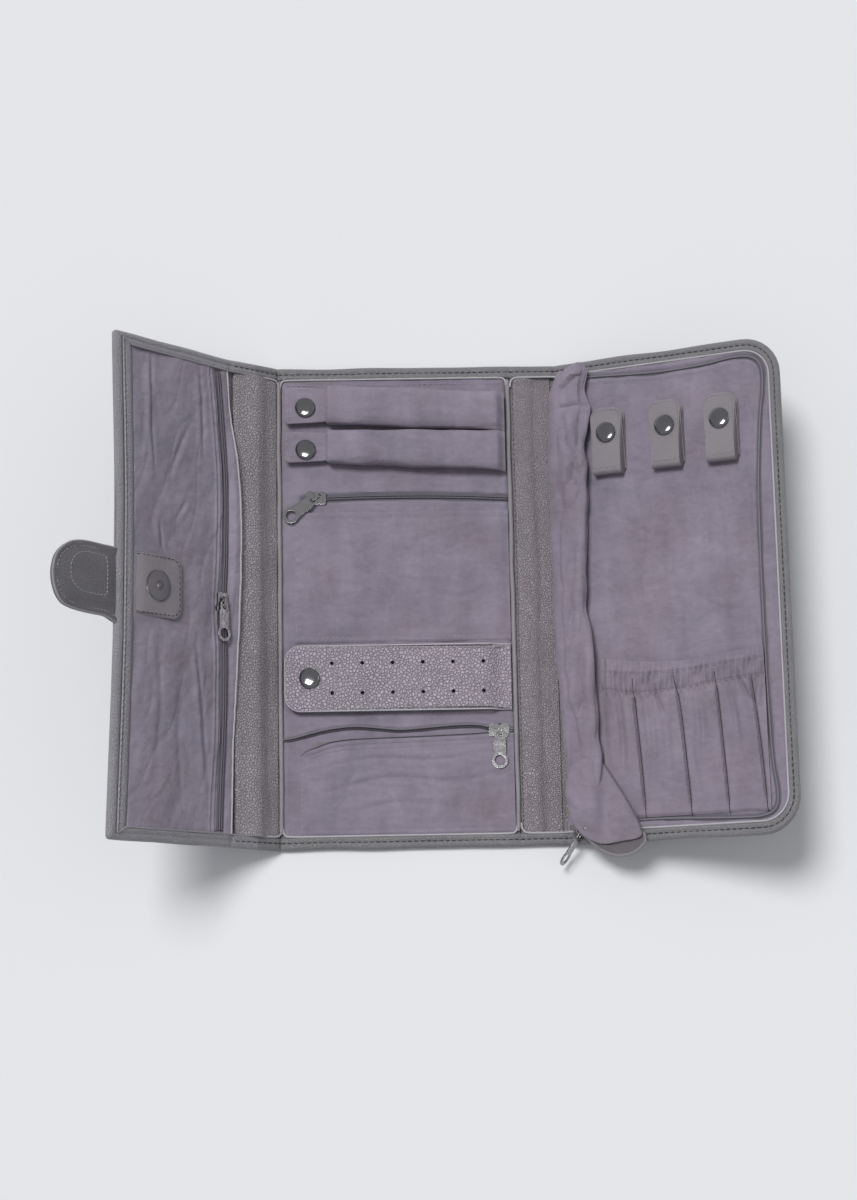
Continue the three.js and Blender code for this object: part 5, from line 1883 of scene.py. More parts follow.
FLAP_ZIP = curved([(8.4, 111.5), (6.3, 90), (4.3, 68), (3.4, 50), (3.8, 20), (5.0, -3), (4.4, -30),
    (4.8, -59), (6.5, -90), (7.4, -112)])
PANEL_ZIP = curved([
    (15, 111.2), (24, 110.9), (40, 109.8), (56, 109.0), (77, 109.6), (93, 111.2), (102, 109.9),
    (106.4, 104.5), (106.6, 94), (104.6, 78), (102.6, 49), (101.9, 20), (101.8, -20), (102.3, -60),
    (103.2, -86), (104.8, -100), (103.5, -108), (97, -111.2), (86, -111.4), (67, -110.6),
    (48, -109.8), (30, -110.0), (14.5, -110.6)])
FLAP_CREASES = (
    Crease(((49.5, 113.5), (50.6, 79), (49.2, 55)), 0.8, 1.0),
    Crease(((20.5, 113), (18.6, 95.5), (17.3, 65.8)), 0.7, 1.1),
    Crease(((22.4, -23), (19.3, -51), (16.2, -75), (14.3, -93.6)), 0.75, 1.2),
    Crease(((40, 52), (30.7, 73), (24.3, 84)), 0.55, 1.2),
    Crease(((46, 31.6), (44.5, 22), (42.3, 15.5)), 0.6, 1.0),
    Crease(((35, 33.4), (27.5, 44.3)), 0.5, 1.1),
    Crease(((58, 60), (55, 84), (56.5, 108)), 0.35, 1.5),
    Crease(((46, -22), (44, -50), (47, -88)), 0.4, 1.6),
    Crease(((30, -40), (33, -70), (30, -104)), 0.35, 1.7),
)


FLAP_EDGE = curved([(2.2, 113.4), (1.0, 100), (-1.0, 84), (-3.4, 66), (-4.7, 48), (-4.9, 20),
    (-4.3, -3), (-3.6, -25), (-2.3, -50), (-0.8, -78), (0.2, -100), (0.5, -113.4)])


@dataclass
class FlapLining(Assembly):
    """The creased suede lining of the flap, which bellies over the spine beside its zip."""

    outer: float = 62.3

    def height(self, u: Array, y: Array) -> Array:
        """Gives the lining's height, with its creases and the belly beside the zip.

        Args:
            u: Distances from the leaf's fold.
            y: Places along the folds.

        Returns:
            Heights over the leaf.
        """
        out = LINING_TOP + creased(u, y, FLAP_CREASES) + uneven(
            u, y, (0.42, 31, 44.0, 8, 8.0, 0.5), (0.20, 32, 15.0, 8, 15.0, 0.6),
            (0.07, 30, 5.5, 9, 40.0, 0.7))
        out = out - 0.20 * Waves(34, 24.0, 8, 12.0, 0.5).lines(u, y, 0.15)
        out = out - 0.08 * Waves(35, 13.0, 9, 30.0, 0.7).lines(u, y, 0.18)
        coil_u = along_line(FLAP_ZIP[:, ::-1], y)
        out = out - 0.8 * smooth((2.3 - np.abs(u - coil_u)) / 0.7)
        for welt in (3.9, 6.2):
            out = out + 0.45 * bump(u - coil_u - welt, 0.55)
        edge = along_line(FLAP_EDGE[:, ::-1], y)
        belly = smooth((1.0 - edge) / 5) * smooth((coil_u - 1.6 - u) / 4)
        out = out + 1.6 * belly + 0.35 * smooth((coil_u - 2 - u) / 1.5)
        flat = smooth((np.hypot(np.maximum(np.abs(u - 47) - 14.5, 0),
                                np.maximum(np.abs(y) - 14.5, 0))) / 5)
        out = 3.45 * (1 - flat) + out * flat
        side = smooth((self.outer - u) / 1.0)
        return np.maximum(out, 2.62) - 0.9 * (1 - side)

    def place(self, u: Array, y: Array, h: Array) -> Array:
        """Places points on the flap, or past its fold on the spine."""
        return strip(FLAP.flat_x - np.asarray(u, float), y, h)

    def build(self) -> None:
        """Makes the lining with the bead on its edge, the tape and the two halves of the chain."""
        y = np.linspace(-INNER_HALF, INNER_HALF, 300)[None, :]
        edge = along_line(FLAP_EDGE[:, ::-1], y)
        share = np.concatenate([np.linspace(0, 0.2, 40), np.linspace(0.208, 1, 110)])[:, None]
        u = edge + (self.outer - edge) * share
        y = y + 0 * u
        top = self.height(u, y)
        self.keep(closed_sheet("flap_suede", self.place(u, y, top), self.place(u, y, top - 0.6),
                               LIT_FLAP_SUEDE))
        line = FLAP_EDGE + (0.1, 0.0)
        # The bead takes the lighter edge leather, a painted highlight along the lining's edge.
        self.keep(swept("flap_edge_bead", self.place, line, self.height(*line.T) - 0.25,
                        circle(0.62, 9), EDGE))
        tape = resample(FLAP_ZIP, 2)
        self.keep(swept("flap_zip_tape", FLAP.at, tape, 2.9, ribbon(2.1, 0.15), TAPE))
        self.keep(joined("flap_zip_coil", [
            coil("half", FLAP.at, offset(FLAP_ZIP, side * 0.6), 3.65, 0.62) for side in SIDES]))

    def dress(self) -> None:
        self.ride("flap", "flap_zip_tape", "flap_zip_coil")
        start, end = (tuple(self.place(u, 0.0, FOLD_H)) for u in (3.6, -5.0))
        for name in ("flap_suede", "flap_edge_bead"):
            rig.blend(self.pieces[name], "flap", "spine_1", start=start, end=end)
        self.replace(flap_suede="flap_lining", flap_zip_coil="flap_zip")
        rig.sheet(self.pieces["flap_suede"], held="stretched", rests_on=["flap_board"],
                 flat=((self.outer + 4) * MM, 2 * INNER_HALF * MM),
                 with_pieces=[self.pieces["flap_edge_bead"]])


@dataclass
class MagnetClosure(Assembly):
    """The magnet's patch and disc on the flap and the tab on its edge; the plate it meets stays as the frame has it.
    """

    disc_u: float = 47.6
    disc_radius: float = 7.25
    patch_low: float = 3.72
    patch_high: float = 4.75
    patch_seam: float = 4.82
    tab_low: float = 0.7
    tab_high: float = 3.1

    def tab_outline(self) -> Array:
        """Returns the tab's outline, which runs into the flap's free edge."""
        return curved([(69.4, 14.9), (69.4, -17.9), (78, -17.9), (85.9, -17.7), (92.5, -17.2),
            (97.6, -16.3), (101.2, -14.9), (104.2, -11.8), (106.3, -7.0), (107.1, -1.6), (106.7, 1.9),
            (105.6, 6.0), (103.4, 9.4), (100, 12.3), (96.6, 14.2), (92, 15.3), (86, 15.6), (78, 15.2),
            (69.4, 14.9)], 1.3)[:-1]

    def tab_crown(self, u: Array, y: Array) -> Array:
        """Pads the tab's face: a cushion inside a groove.

        Args:
            u: Distances from the leaf's fold.
            y: Places along the folds.

        Returns:
            What the padding lifts.
        """
        away = distance_to(np.vstack([self.tab_outline(), self.tab_outline()[:1]]), u, y)
        face = smooth((away - 3.6) / 4.5)
        groove = bump(away - 2.6, 0.75)
        return (0.9 * face - 0.45 * groove + 0.25 * bump(away - 1.3, 0.9)
                + uneven(u, y, (0.10, 37, 19.0)))

    def tucked(self, u: Array, y: Array, h: Array) -> Trio:
        """Draws the patch's outer side down under the flap's turned edge."""
        return u, y, h - 1.6 * smooth((u - 57.0) / 4.5)

    def build(self) -> None:
        """Makes patch, disc with its ring, tab, their seams and the tab's rim."""
        patch = rounded([(62.4, -15, 0.4), (62.4, 15, 0.4), (32.2, 15, 5.6), (32.2, -15, 5.6)])
        self.keep(Plate(anticlockwise(patch), self.patch_low, self.patch_high, 0.4,
                        crown=waved(0.12, 38, 16.0), bend=self.tucked).build(
                            "magnet_patch_leather", FLAP.at, TAB))
        line = rounded([(60.8, -13.6, 0), (60.8, 13.6, 0), (33.6, 13.6, 4.4), (33.6, -13.6, 4.4)])
        line = resample(np.vstack([line[1:], line[:1]]), 1.0)
        row = np.column_stack(self.tucked(*raised(line, self.patch_seam).T))
        self.keep(thread_row("magnet_patch_seam", FLAP.at, [row], SHELL_THREAD, 2.7, 1.7, 0.42))
        radius = self.disc_radius
        self.keep(turned("magnet_ring", [(0, 4.6), (radius + 0.2, 4.6), (radius + 0.4, 4.8),
                                         (radius + 0.4, 5.0), (radius + 0.2, 5.1), (0, 5.1)],
                         FLAP, self.disc_u, 0.0, GUNMETAL, 56))
        self.keep(turned("magnet_face", [
            (0, 5.0), (radius - 0.2, 5.0), (radius, 5.15), (radius - 0.1, 5.35), (radius - 0.5, 5.45),
            (3.2, 5.5), (2.3, 5.5), (2.0, 5.6), (1.7, 6.1), (1.3, 6.4), (0.7, 6.55), (0, 6.58)],
            FLAP, self.disc_u, 0.0, DISC_METAL, 56))
        self.keep(Plate(anticlockwise(self.tab_outline()), self.tab_low, self.tab_high, 0.7, 1.6,
                        crown=self.tab_crown).build("closure_tab_leather", FLAP.at, TAB_DARK))
        rim = self.tab_outline()[3:-1]
        inner = rim + 2.6 * inward(rim)
        contour = curved([(77.6, 9.9), (84, 10.3), (90, 10.1), (94.2, 8.2), (96.9, 4.6), (97.6, 0.6),
            (96.8, -3.4), (94.4, -6.6), (90.2, -8.4), (84, -8.7), (77.6, -8.5), (77.0, -4), (77.0, 5),
            (77.6, 9.9)], 0.6)
        rows = [raised(line, self.tab_high + self.tab_crown(*line.T) + lift)
                for line, lift in ((inner, 0.1), (contour, 0.06))]
        self.keep(thread_row("closure_tab_seam", FLAP.at, rows, PALE_THREAD, 2.0, 1.35, 0.42))
        self.keep(swept("closure_tab_rim", FLAP.at, rim + 0.35 * inward(rim), 2.75,
                        circle(0.55, 8), PIPING))

    def dress(self) -> None:
        """Rides the pieces on the flap and says which nodes they replace."""
        self.ride("flap")
        self.replace(magnet_patch_leather="magnet_patch",
                     magnet_face="magnet_disc",
                     closure_tab_leather="closure_tab")


def inward(line: Array) -> Array:
    """Finds the directions from a line towards its middle.

    Args:
        line: Points of the line.

    Returns:
        Unit vectors across the line.
    """
    across = sideways(line)
    middle = line.mean(0)
    turn = np.sign(((middle - line) * across).sum(-1))
    return across * turn[:, None]


PANEL_CREASES = (
    Crease(((40, 52), (44, 30), (41, 6), (45, -20)), 0.4, 1.3),
    Crease(((62, 46), (57, 22), (60, -6)), 0.35, 1.2),
    Crease(((80, 50), (84, 20), (80, -12)), 0.4, 1.4),
    Crease(((94, 74), (97, 40), (95, 4)), 0.35, 1.3),
    Crease(((30, 40), (50, 28), (66, 30)), 0.25, 1.2),
    Crease(((70, -4), (84, -12), (98, -8)), 0.3, 1.2),
)


@dataclass
class PanelLining(Assembly):
    """The suede lining of the right panel with the half zip that runs round three sides."""

    inner: float = 0.5
    outer: float = 110.3
    corner: float = 11.0

    def height(self, u: Array, y: Array) -> Array:
        """Gives the lining's height, sunk under the chain.

        Args:
            u: Distances from the leaf's fold.
            y: Places along the folds.

        Returns:
            Heights over the leaf.
        """
        out = LINING_TOP + uneven(u, y, (0.25, 33, 40.0), (0.12, 34, 14.0))
        out = out + creased(u, y, PANEL_CREASES)
        out = out - 0.16 * Waves(36, 26.0, 9, 20.0, 0.9).lines(u, y, 0.12)
        away = distance_to(PANEL_ZIP[::4], u, y)
        out = out - 0.6 * smooth((1.4 - away) / 0.7) + 0.42 * bump(away - 2.5, 0.9)
        edge = smooth((self.outer - u) / 1.2) * smooth((u - self.inner) / 1.2)
        return out - 0.9 * (1 - edge)

    def build(self) -> None:
        """Makes the lining, the tape and the chain."""
        us = np.concatenate([np.linspace(self.inner, 96, 110), np.linspace(96.6, self.outer, 40)])
        over = np.clip((us - (self.outer - self.corner)) / self.corner, 0, 1)
        half = INNER_HALF - self.corner * (1 - np.sqrt(1 - over ** 2))
        self.keep(height_sheet("panel_suede", PANEL.at, us, -half, half, 300, self.height, 0.55,
                               SUEDE))
        tape = resample(PANEL_ZIP, 1.5)
        self.keep(swept("panel_zip_tape", PANEL.at, tape, 3.1, ribbon(1.4, 0.15), TAPE))
        # The panel's chain takes the lighter coil, painted light.
        self.keep(coil("panel_zip_coil", PANEL.at, PANEL_ZIP, 3.75, 0.62, 1.0, LIT_COIL))

    def dress(self) -> None:
        self.ride("right_panel")
        self.replace(panel_suede="panel_lining", panel_zip_coil="panel_zip")
        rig.sheet(self.pieces["panel_suede"], held="stretched", rests_on=["panel_board"],
                 flat=((self.outer - self.inner) * MM, 2 * INNER_HALF * MM))


CAP_PROFILE = ((0, 0.0), (3.9, 0.0), (4.4, 0.3), (4.4, 1.3), (4.1, 1.5), (1.2, 1.5), (1.2, 3.3),
               (4.5, 3.3), (4.9, 3.5), (5.0, 3.75), (4.9, 4.0), (4.5, 4.4), (3.7, 4.8), (2.6, 5.05),
               (1.3, 5.18), (0, 5.2))
STUD_PROFILE = ((0, 0.0), (4.1, 0.0), (4.4, 0.15), (4.4, 0.4), (4.1, 0.6), (2.1, 0.62), (1.7, 0.75),
                (1.55, 1.1), (1.7, 1.4), (1.5, 1.6), (0, 1.65))


@dataclass
class Snap(Assembly):
    """A domed press stud: the cap with its socket above, the stud below."""

    cap_node: str = "earring_snap_cap"
    stud_node: str = "earring_snap_stud"
    body: str = "earring_strap"
    leaf: Leaf = CENTRE
    u: float = -42.9
    y: float = -37.4
    base: float = 3.7

    def build(self) -> None:
        """Turns the cap and the stud."""
        for node, profile, base, metal, count in (
                (self.cap_node, CAP_PROFILE, self.base + 0.9, GUNMETAL, 48),
                (self.stud_node, STUD_PROFILE, self.base, NICKEL, 32)):
            profile = [(radius, base + height) for radius, height in profile]
            self.keep(turned(node + "_metal", profile, self.leaf, self.u, self.y, metal, count))

    def dress(self) -> None:
        """Rides the cap on its tab and the stud on the leaf."""
        for node, body in ((self.cap_node, self.body), (self.stud_node, self.leaf.body)):
            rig.ride(self.pieces[node + "_metal"], body)
            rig.replaces(self.pieces[node + "_metal"], node)


@dataclass
class RingBar(Assembly):
    """A padded suede bar for rings, sewn in at its right end, with a flat tab at its left."""

    number: int = 1
    left_y: Pair = (90.0, 109.5)
    right_y: Pair = (85.6, 105.0)
    left_x: float = -34.2
    right_x: float = 54.9
    bend_x: Pair = (47.0, 53.6)
    low: float = 3.75
    tall: float = 8.2
    tab_end: float = -54.2

    def outline(self, t: Array) -> Trio:
        """Shapes the bar along its length.

        Args:
            t: Shares of its length, from the left.

        Returns:
            Its middle, half width and height at each of them.
        """
        low, high = (left + (right - left) * t for left, right in zip(self.left_y, self.right_y))
        x = self.left_x + (self.right_x - self.left_x) * t
        end = np.sqrt(np.clip(1 - np.clip(1 - (x - self.left_x) / 2.6, 0, 1) ** 2, 0.02, 1))
        pinch = smooth((self.right_x - x) / 4.5)
        half = (high - low) / 2 * (0.55 + 0.45 * end) * (0.97 + 0.03 * pinch)
        tall = self.tall * (0.25 + 0.75 * end) * (0.45 + 0.55 * pinch)
        half = half * (1 + uneven(x, 0, (0.02, 80 + self.number, 30.0)))
        return (low + high) / 2, half, tall * (1 + uneven(x, 40, (0.03, 80 + self.number, 30.0)))

    def build(self) -> None:
        """Makes the bar and its tab."""
        t = np.concatenate([np.linspace(0, 0.03, 9), np.linspace(0.04, 1, 120)])
        turn = np.linspace(0, 2 * math.pi, 56, endpoint=False)
        middle, half, tall = (v[:, None] for v in self.outline(t))
        x = self.left_x + (self.right_x - self.left_x) * t[:, None] + 0 * turn
        cos, sin = np.cos(turn)[None], np.sin(turn)[None]
        pucker = 0.2 * smooth((t[:, None] - 0.86) / 0.14) * np.sin(9 * turn)[None] * (sin > 0)
        puff = 1 + (pucker + uneven(
            x, turn[None] * 8.0, (0.10, 84 + self.number, 11.0, 8, 90.0, 0.5),
            (0.05, 88 + self.number, 5.0, 8, 75.0, 0.6))) / 8
        y = middle + half * puff * np.sign(cos) * np.abs(cos) ** 0.78
        h = self.low + tall * (0.5 + 0.5 * puff * np.sign(sin) * np.abs(sin) ** 0.72)
        h = np.maximum(h, self.low)
        name = f"ring_bar_{self.number}"
        self.keep(loft(name + "_suede", CENTRE.at(x, y, h), SUEDE))
        tab_low, tab_high = self.left_y[0] + 0.3, self.left_y[1] - 0.3
        tab = rounded([(self.left_x + 4, tab_low + 1.5, 0.5), (self.left_x + 4, tab_high - 1.5, 0.5),
                       (self.left_x - 1.5, tab_high - 0.8, 1.5), (self.tab_end, tab_high, 2.4),
                       (self.tab_end, tab_low, 2.4), (self.left_x - 1.5, tab_low + 0.8, 1.5)])
        tab = anticlockwise(tab)
        crown = waved(0.16, 90 + self.number, 14.0)
        self.keep(Plate(tab, TAB_LOW, TAB_HIGH, 0.4, 1.8, crown=crown).build(
            name + "_tab", CENTRE.at, SUEDE))
        line = tab + 1.5 * inward(np.vstack([tab, tab[:1]]))[:-1]
        line = line[line[:, 0] < self.left_x - 2.2]
        line = line[np.argsort(np.arctan2(line[:, 1] - line[:, 1].mean(),
                                          -(line[:, 0] - self.left_x)))]
        self.keep(thread_row(name + "_seam", CENTRE.at, [raised(line, TAB_HIGH + 0.12)],
                             SUEDE_THREAD, 2.2, 1.4, 0.34))

    def dress(self) -> None:
        """Bends the bar at its sewn end and declares its padding."""
        name = f"ring_bar_{self.number}"
        self.ride(name, name + "_tab", name + "_seam")
        start, end = (tuple(CENTRE.at(x, self.left_y[0], self.low)) for x in self.bend_x)
        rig.blend(self.pieces[name + "_suede"], name, "centre", start=start, end=end)
        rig.replaces(self.pieces[name + "_suede"], f"ring_bar_cover_{self.number}",
                    f"ring_bar_core_{self.number}")
        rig.padded(self.pieces[name + "_suede"], fill=0.85)


@dataclass
class EarringStrap(Assembly):
    """The pebbled strap with two rows of holes, sewn down at its right end."""

    left: float = -54.7
    right: float = 55.3
    y: float = -37.4
    half: float = 16.0
    corner: float = 7.5
    hole_radius: float = 0.95
    hole_columns: int = 6
    first_hole: float = -31.9
    hole_pitch: float = 14.7
    hole_row: float = 7.3
    bend_from: float = 43.6
    bend_to: float = 50.0
    drop: float = 2.55

    def outline(self) -> Array:
        """Returns the strap's outline, anticlockwise."""
        return rounded([(self.left, self.y - self.half, self.corner),
                        (self.right, self.y - self.half, 0.5), (self.right, self.y + self.half, 0.5),
                        (self.left, self.y + self.half, self.corner)], 9)

    def bent(self, x: Array, y: Array, h: Array) -> Trio:
        """Draws the right end down onto the lining."""
        return x, y, h - self.drop * smooth((x - self.bend_from) / (self.bend_to - self.bend_from))

    def crown(self, x: Array, y: Array) -> Array:
        """Returns the strap's slight unevenness."""
        seam = distance_to(self.outline()[::2], x, y)
        return uneven(x, y, (0.16, 95, 34.0)) - 0.14 * bump(seam - 1.7, 0.6)

    def build(self) -> None:
        """Makes the strap, its cut edge in a lighter leather that paints a highlight, and its seam."""
        holes = [(self.first_hole + self.hole_pitch * k, self.y + side * self.hole_row,
                  self.hole_radius) for k in range(self.hole_columns) for side in SIDES]
        outline = self.outline()
        self.keep(Plate(outline, TAB_LOW, TAB_HIGH, 0.35, 1.9, holes, self.crown, self.bent).build(
            "earring_strap_leather", CENTRE.at, BUMPY))
        place = bent(CENTRE.at, self.bent)
        rim = outline[outline[:, 0] < self.right - 1]
        rim = np.roll(rim, -int(np.argmax(rim.sum(1))), axis=0)
        low, high = ([(self.right, self.y + side * self.half)] for side in (-1, 1))
        rim = resample(np.vstack([high, rim, low]), 1.2)
        # The cut edge takes the lighter edge leather, a painted highlight.
        self.keep(swept("earring_strap_rim", place, rim, 6.9, circle(0.42, 7, 1.1), EDGE))
        row = raised(rim + 1.7 * inward(rim), TAB_HIGH + 0.02)[2:-2]
        self.keep(thread_row("earring_strap_seam", place, [row], PALE_THREAD, 2.4, 1.5, 0.36))

    def dress(self) -> None:
        """Bends the strap at the seam that holds its right end."""
        start, end = (tuple(CENTRE.at(x, self.y, TAB_LOW))
                      for x in (self.bend_from + 2, self.bend_to + 1))
        for piece in self.pieces.values():
            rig.blend(piece, "earring_strap", "centre", start=start, end=end)
        self.replace(earring_strap_leather="earring_strap")


@dataclass
class NecklaceTab(Assembly):
    """A leather strip folded at its foot: one layer sewn to the lining, one that opens."""

    number: int = 1
    u: float = 28.6
    width: float = 16.4
    top: float = 93.0
    foot: float = 62.2
    fold_h: float = 6.4
    fold_radius: float = 2.1
    thickness: float = 1.15
    back_low: float = 3.7
    back_high: float = 4.9

    def folded(self, u: Array, v: Array, h: Array) -> Trio:
        """Wraps a flat strip round the fold.

        Args:
            u: Distances from the panel's fold.
            v: Places along the strip, from the lower layer to the front's top.
            h: Heights over the strip's middle.

        Returns:
            The same points on the folded strip.
        """
        arc = math.pi * self.fold_radius
        turn = np.clip(v / self.fold_radius, 0, math.pi)
        reach = self.fold_radius + h
        y = self.foot - reach * np.sin(turn) - np.minimum(v, 0) + np.maximum(v - arc, 0)
        return u, y, self.fold_h - reach * np.cos(turn)

    def build(self) -> None:
        """Makes both layers and the front's seam."""
        half = self.width / 2
        arc = math.pi * self.fold_radius
        reach = arc + self.top - self.foot
        front = rounded([(self.u - half, -0.4, 0.2), (self.u + half, -0.4, 0.2),
                         (self.u + half, reach, 5.4), (self.u - half, reach, 5.4)])
        name = f"necklace_tab_{self.number}"
        thick = self.thickness / 2
        self.keep(Plate(front, -thick, thick, 0.35, 1.1, crown=waved(0.10, 98 + self.number, 15.0),
                        bend=self.folded).build(name + "_leather", PANEL.at, TAB))
        back = rounded([(self.u - half, self.foot + 2.2, 0.5), (self.u + half, self.foot + 2.2, 0.5),
                        (self.u + half, self.top - 0.4, 3.4), (self.u - half, self.top - 0.4, 3.4)])
        self.keep(Plate(back, self.back_low, self.back_high, 0.35).build(name + "_back", PANEL.at, TAB))
        line = rounded([(self.u - half + 1.4, arc + 0.5, 0.2), (self.u + half - 1.4, arc + 0.5, 0.2),
                        (self.u + half - 1.4, reach - 1.4, 2.4),
                        (self.u - half + 1.4, reach - 1.4, 2.4)])
        self.keep(thread_row(name + "_seam", bent(PANEL.at, self.folded),
                             [raised(line[1:], thick + 0.06)], TAB_THREAD, 2.0, 1.3, 0.30))

    def dress(self) -> None:
        """Rides the front on its joint and the back on the panel."""
        name = f"necklace_tab_{self.number}"
        self.ride(name, name + "_leather", name + "_seam")
        self.ride("right_panel", name + "_back")
        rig.replaces(self.pieces[name + "_leather"], name)
        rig.replaces(self.pieces[name + "_back"], f"necklace_tab_back_{self.number}")


BAND_TOP = curved([(21.4, -31.0), (35.9, -33.6), (50.9, -35.2), (70.8, -35.0), (85.7, -33.2),
    (101.4, -31.6)])
BAND_ROWS = (curved([(22.4, -37.8), (41, -40.5), (61, -40.3), (80.8, -38.7), (100.6, -37.2)]),
             curved([(22.4, -46.4), (40.7, -49.6), (60.7, -48.6), (80.4, -46.8), (100.6, -45.2)]))
PLEATS = (curved([(36.4, -42), (37.6, -60), (40.1, -109.5)], 2),
          curved([(57.2, -42), (59.6, -62), (62.8, -109.5)], 2),
          curved([(77.0, -42), (78.8, -64), (81.1, -109.5)], 2),
          curved([(94.6, -46), (97.0, -70), (99.4, -109.5)], 2))
POCKET_CREASES = (
    Crease(((47.4, -47.5), (49.5, -54), (51, -60)), 1.3, 0.9),
    Crease(((29, -49), (30.5, -70), (29.8, -90)), 0.8, 1.2),
    Crease(((69, -50), (70.5, -66), (70, -84)), 0.8, 1.1),
    Crease(((88.6, -44), (92, -52), (95.6, -58)), 1.4, 1.0),
    Crease(((99, -44), (97, -52), (96, -60)), 1.1, 0.9),
    Crease(((83, -46), (86, -60), (88, -76)), 0.8, 1.2),
    Crease(((44, -50), (46, -72), (45, -98)), 0.5, 1.3),
    Crease(((66, -56), (65, -78), (68, -102)), 0.45, 1.3))


@dataclass
class ElasticPocket(Assembly):
    """The gathered suede pocket, drawn in along its top by two rows of elastic."""

    left: float = 20.9
    right: float = 101.6
    bottom: float = -108.9
    fullness: float = 1.25
    lap: float = 1.5
    gap: float = 1.5

    def height(self, u: Array, y: Array) -> Array:
        """Gives the height of the pocket's cloth, with its gathers, pleats and creases.

        Args:
            u: Distances from the leaf's fold.
            y: Places along the folds.

        Returns:
            Heights over the leaf.
        """
        top = along_line(BAND_TOP, u)
        share = np.clip((y - self.bottom) / (top - self.bottom), 0, 1)
        first, second = (along_line(row, u) for row in BAND_ROWS)
        edge = smooth((u - self.left) / 5) * smooth((self.right - u) / 4)
        drift = u + uneven(u, 0.3 * y, (0.45, 101, 13.0))
        gathers = np.sin(2 * math.pi * drift / 2.9) * (0.8 + uneven(u, y, (0.3, 104, 9.0)))
        band = smooth((y - second + 3.5) / 4)
        lip = smooth((y - first) / 2.5)
        out = 4.9 + 2.1 * smooth(share * 1.15) * (0.35 + 0.65 * edge)
        out = out + (0.95 * band - 0.62 * lip) * gathers + 0.4 * band * (1 - lip)
        fade = smooth((share - 0.1) / 0.5) * (1 - 0.7 * band)
        out = out + (0.10 + 0.34 * fade) * uneven(u, 0.35 * y, (1.0, 102, 6.5, 8, 5.0, 0.2))
        out = out + share * uneven(u, y, (0.5, 103, 30.0, 8, 20.0, 0.8))
        out = out + creased(u, y, POCKET_CREASES)
        for line in PLEATS:
            past = u - along_line(line[:, ::-1], y)
            lap = np.exp(np.minimum(past, 0) / 5) * smooth(0.5 - past / 0.6)
            depth = smooth((second - y) / 6 + 0.2) * smooth(share * 7)
            out = out + (self.lap * lap - self.gap * bump(past - 0.7, 0.5)) * depth
        out = out - 0.6 * bump(y - first, 0.7) - 0.6 * bump(y - second, 0.7)
        foot = smooth((y - self.bottom) / 1.4)
        return np.maximum(3.95, out) * foot + 3.9 * (1 - foot)

    def build(self) -> None:
        """Makes the pocket and the two rows of stitches over the elastic."""
        us = np.linspace(self.left, self.right, 230)
        self.keep(height_sheet("elastic_pocket_suede", PANEL.at, us, self.bottom,
                               along_line(BAND_TOP, us), 150, self.height, 0.75, LID_SUEDE))
        # Dark thread laid in each pleat's groove: a sewn division between compartments that also paints the shade in
        # the pleat.
        folds = [line + (0.55, 0.0) for line in PLEATS]
        for part, lines, lift, *look in (("seam", BAND_ROWS, 0.12, SUEDE_THREAD, 2.2, 1.5, 0.36),
                                         ("divisions", folds, 0.1, SHELL_THREAD, 1.9, 1.9, 0.5)):
            rows = [raised(line, self.height(*line.T) + lift) for line in lines]
            self.keep(thread_row(f"elastic_pocket_{part}", PANEL.at, rows, *look))

    def dress(self) -> None:
        self.ride("right_panel")
        pocket = self.pieces["elastic_pocket_suede"]
        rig.replaces(pocket, "elastic_pocket")
        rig.sheet(pocket, held="gathered", rests_on=["panel_suede"],
                 flat=((self.right - self.left) * self.fullness * MM, 0.077),
                 with_pieces=[self.pieces["elastic_pocket_seam"],
                              self.pieces["elastic_pocket_divisions"]])


ROLL_LEFT = curved([(5.8, -108.4), (4.6, -99), (2.8, -50), (2.1, 0), (1.9, 40), (1.9, 70), (2.0, 86),
    (1.6, 94.5), (1.7, 102), (3.0, 110.6), (5.8, 114.8), (12.0, 118.3)])
SEAM_LEFT = curved([(5.6, -105), (3.6, -96), (2.2, -82), (1.0, -64), (-0.6, -46), (-2.0, -26),
    (-2.4, 14), (-2.7, 57), (-2.7, 76), (-2.5, 92), (-2.2, 97), (-0.9, 104), (2.4, 112), (4.6, 115)])
ROLL_RIGHT = curved([(17.9, -108.4), (18.4, -100), (20.4, -81), (20.3, -42), (17.0, -2), (18.3, 30),
    (19.6, 60), (18.4, 72), (19.4, 86), (20.6, 94.5), (20.0, 104), (21.2, 110), (21.6, 114.5),
    (17.0, 118.3)])
ROLL_CREASES = (
    Crease(((6, 92), (9, 76), (12, 64), (10, 52)), 1.0, 1.6),
    Crease(((17, 92), (15, 80), (14, 68)), 0.9, 1.3),
    Crease(((16, 70), (11, 62), (13, 54), (17, 66)), 0.8, 1.1),
    Crease(((14, 34), (9, 12), (8, -22)), 0.8, 1.7),
    Crease(((15, -16), (12, -44), (15, -70)), 0.9, 1.6),
    Crease(((5, -40), (8, -66), (12, -84)), 0.7, 1.5),
    Crease(((1, 103), (8, 106), (14, 110), (19, 110)), 0.9, 0.8),
    Crease(((16, 92), (12, 74), (17, 40)), 0.6, 1.4),
)


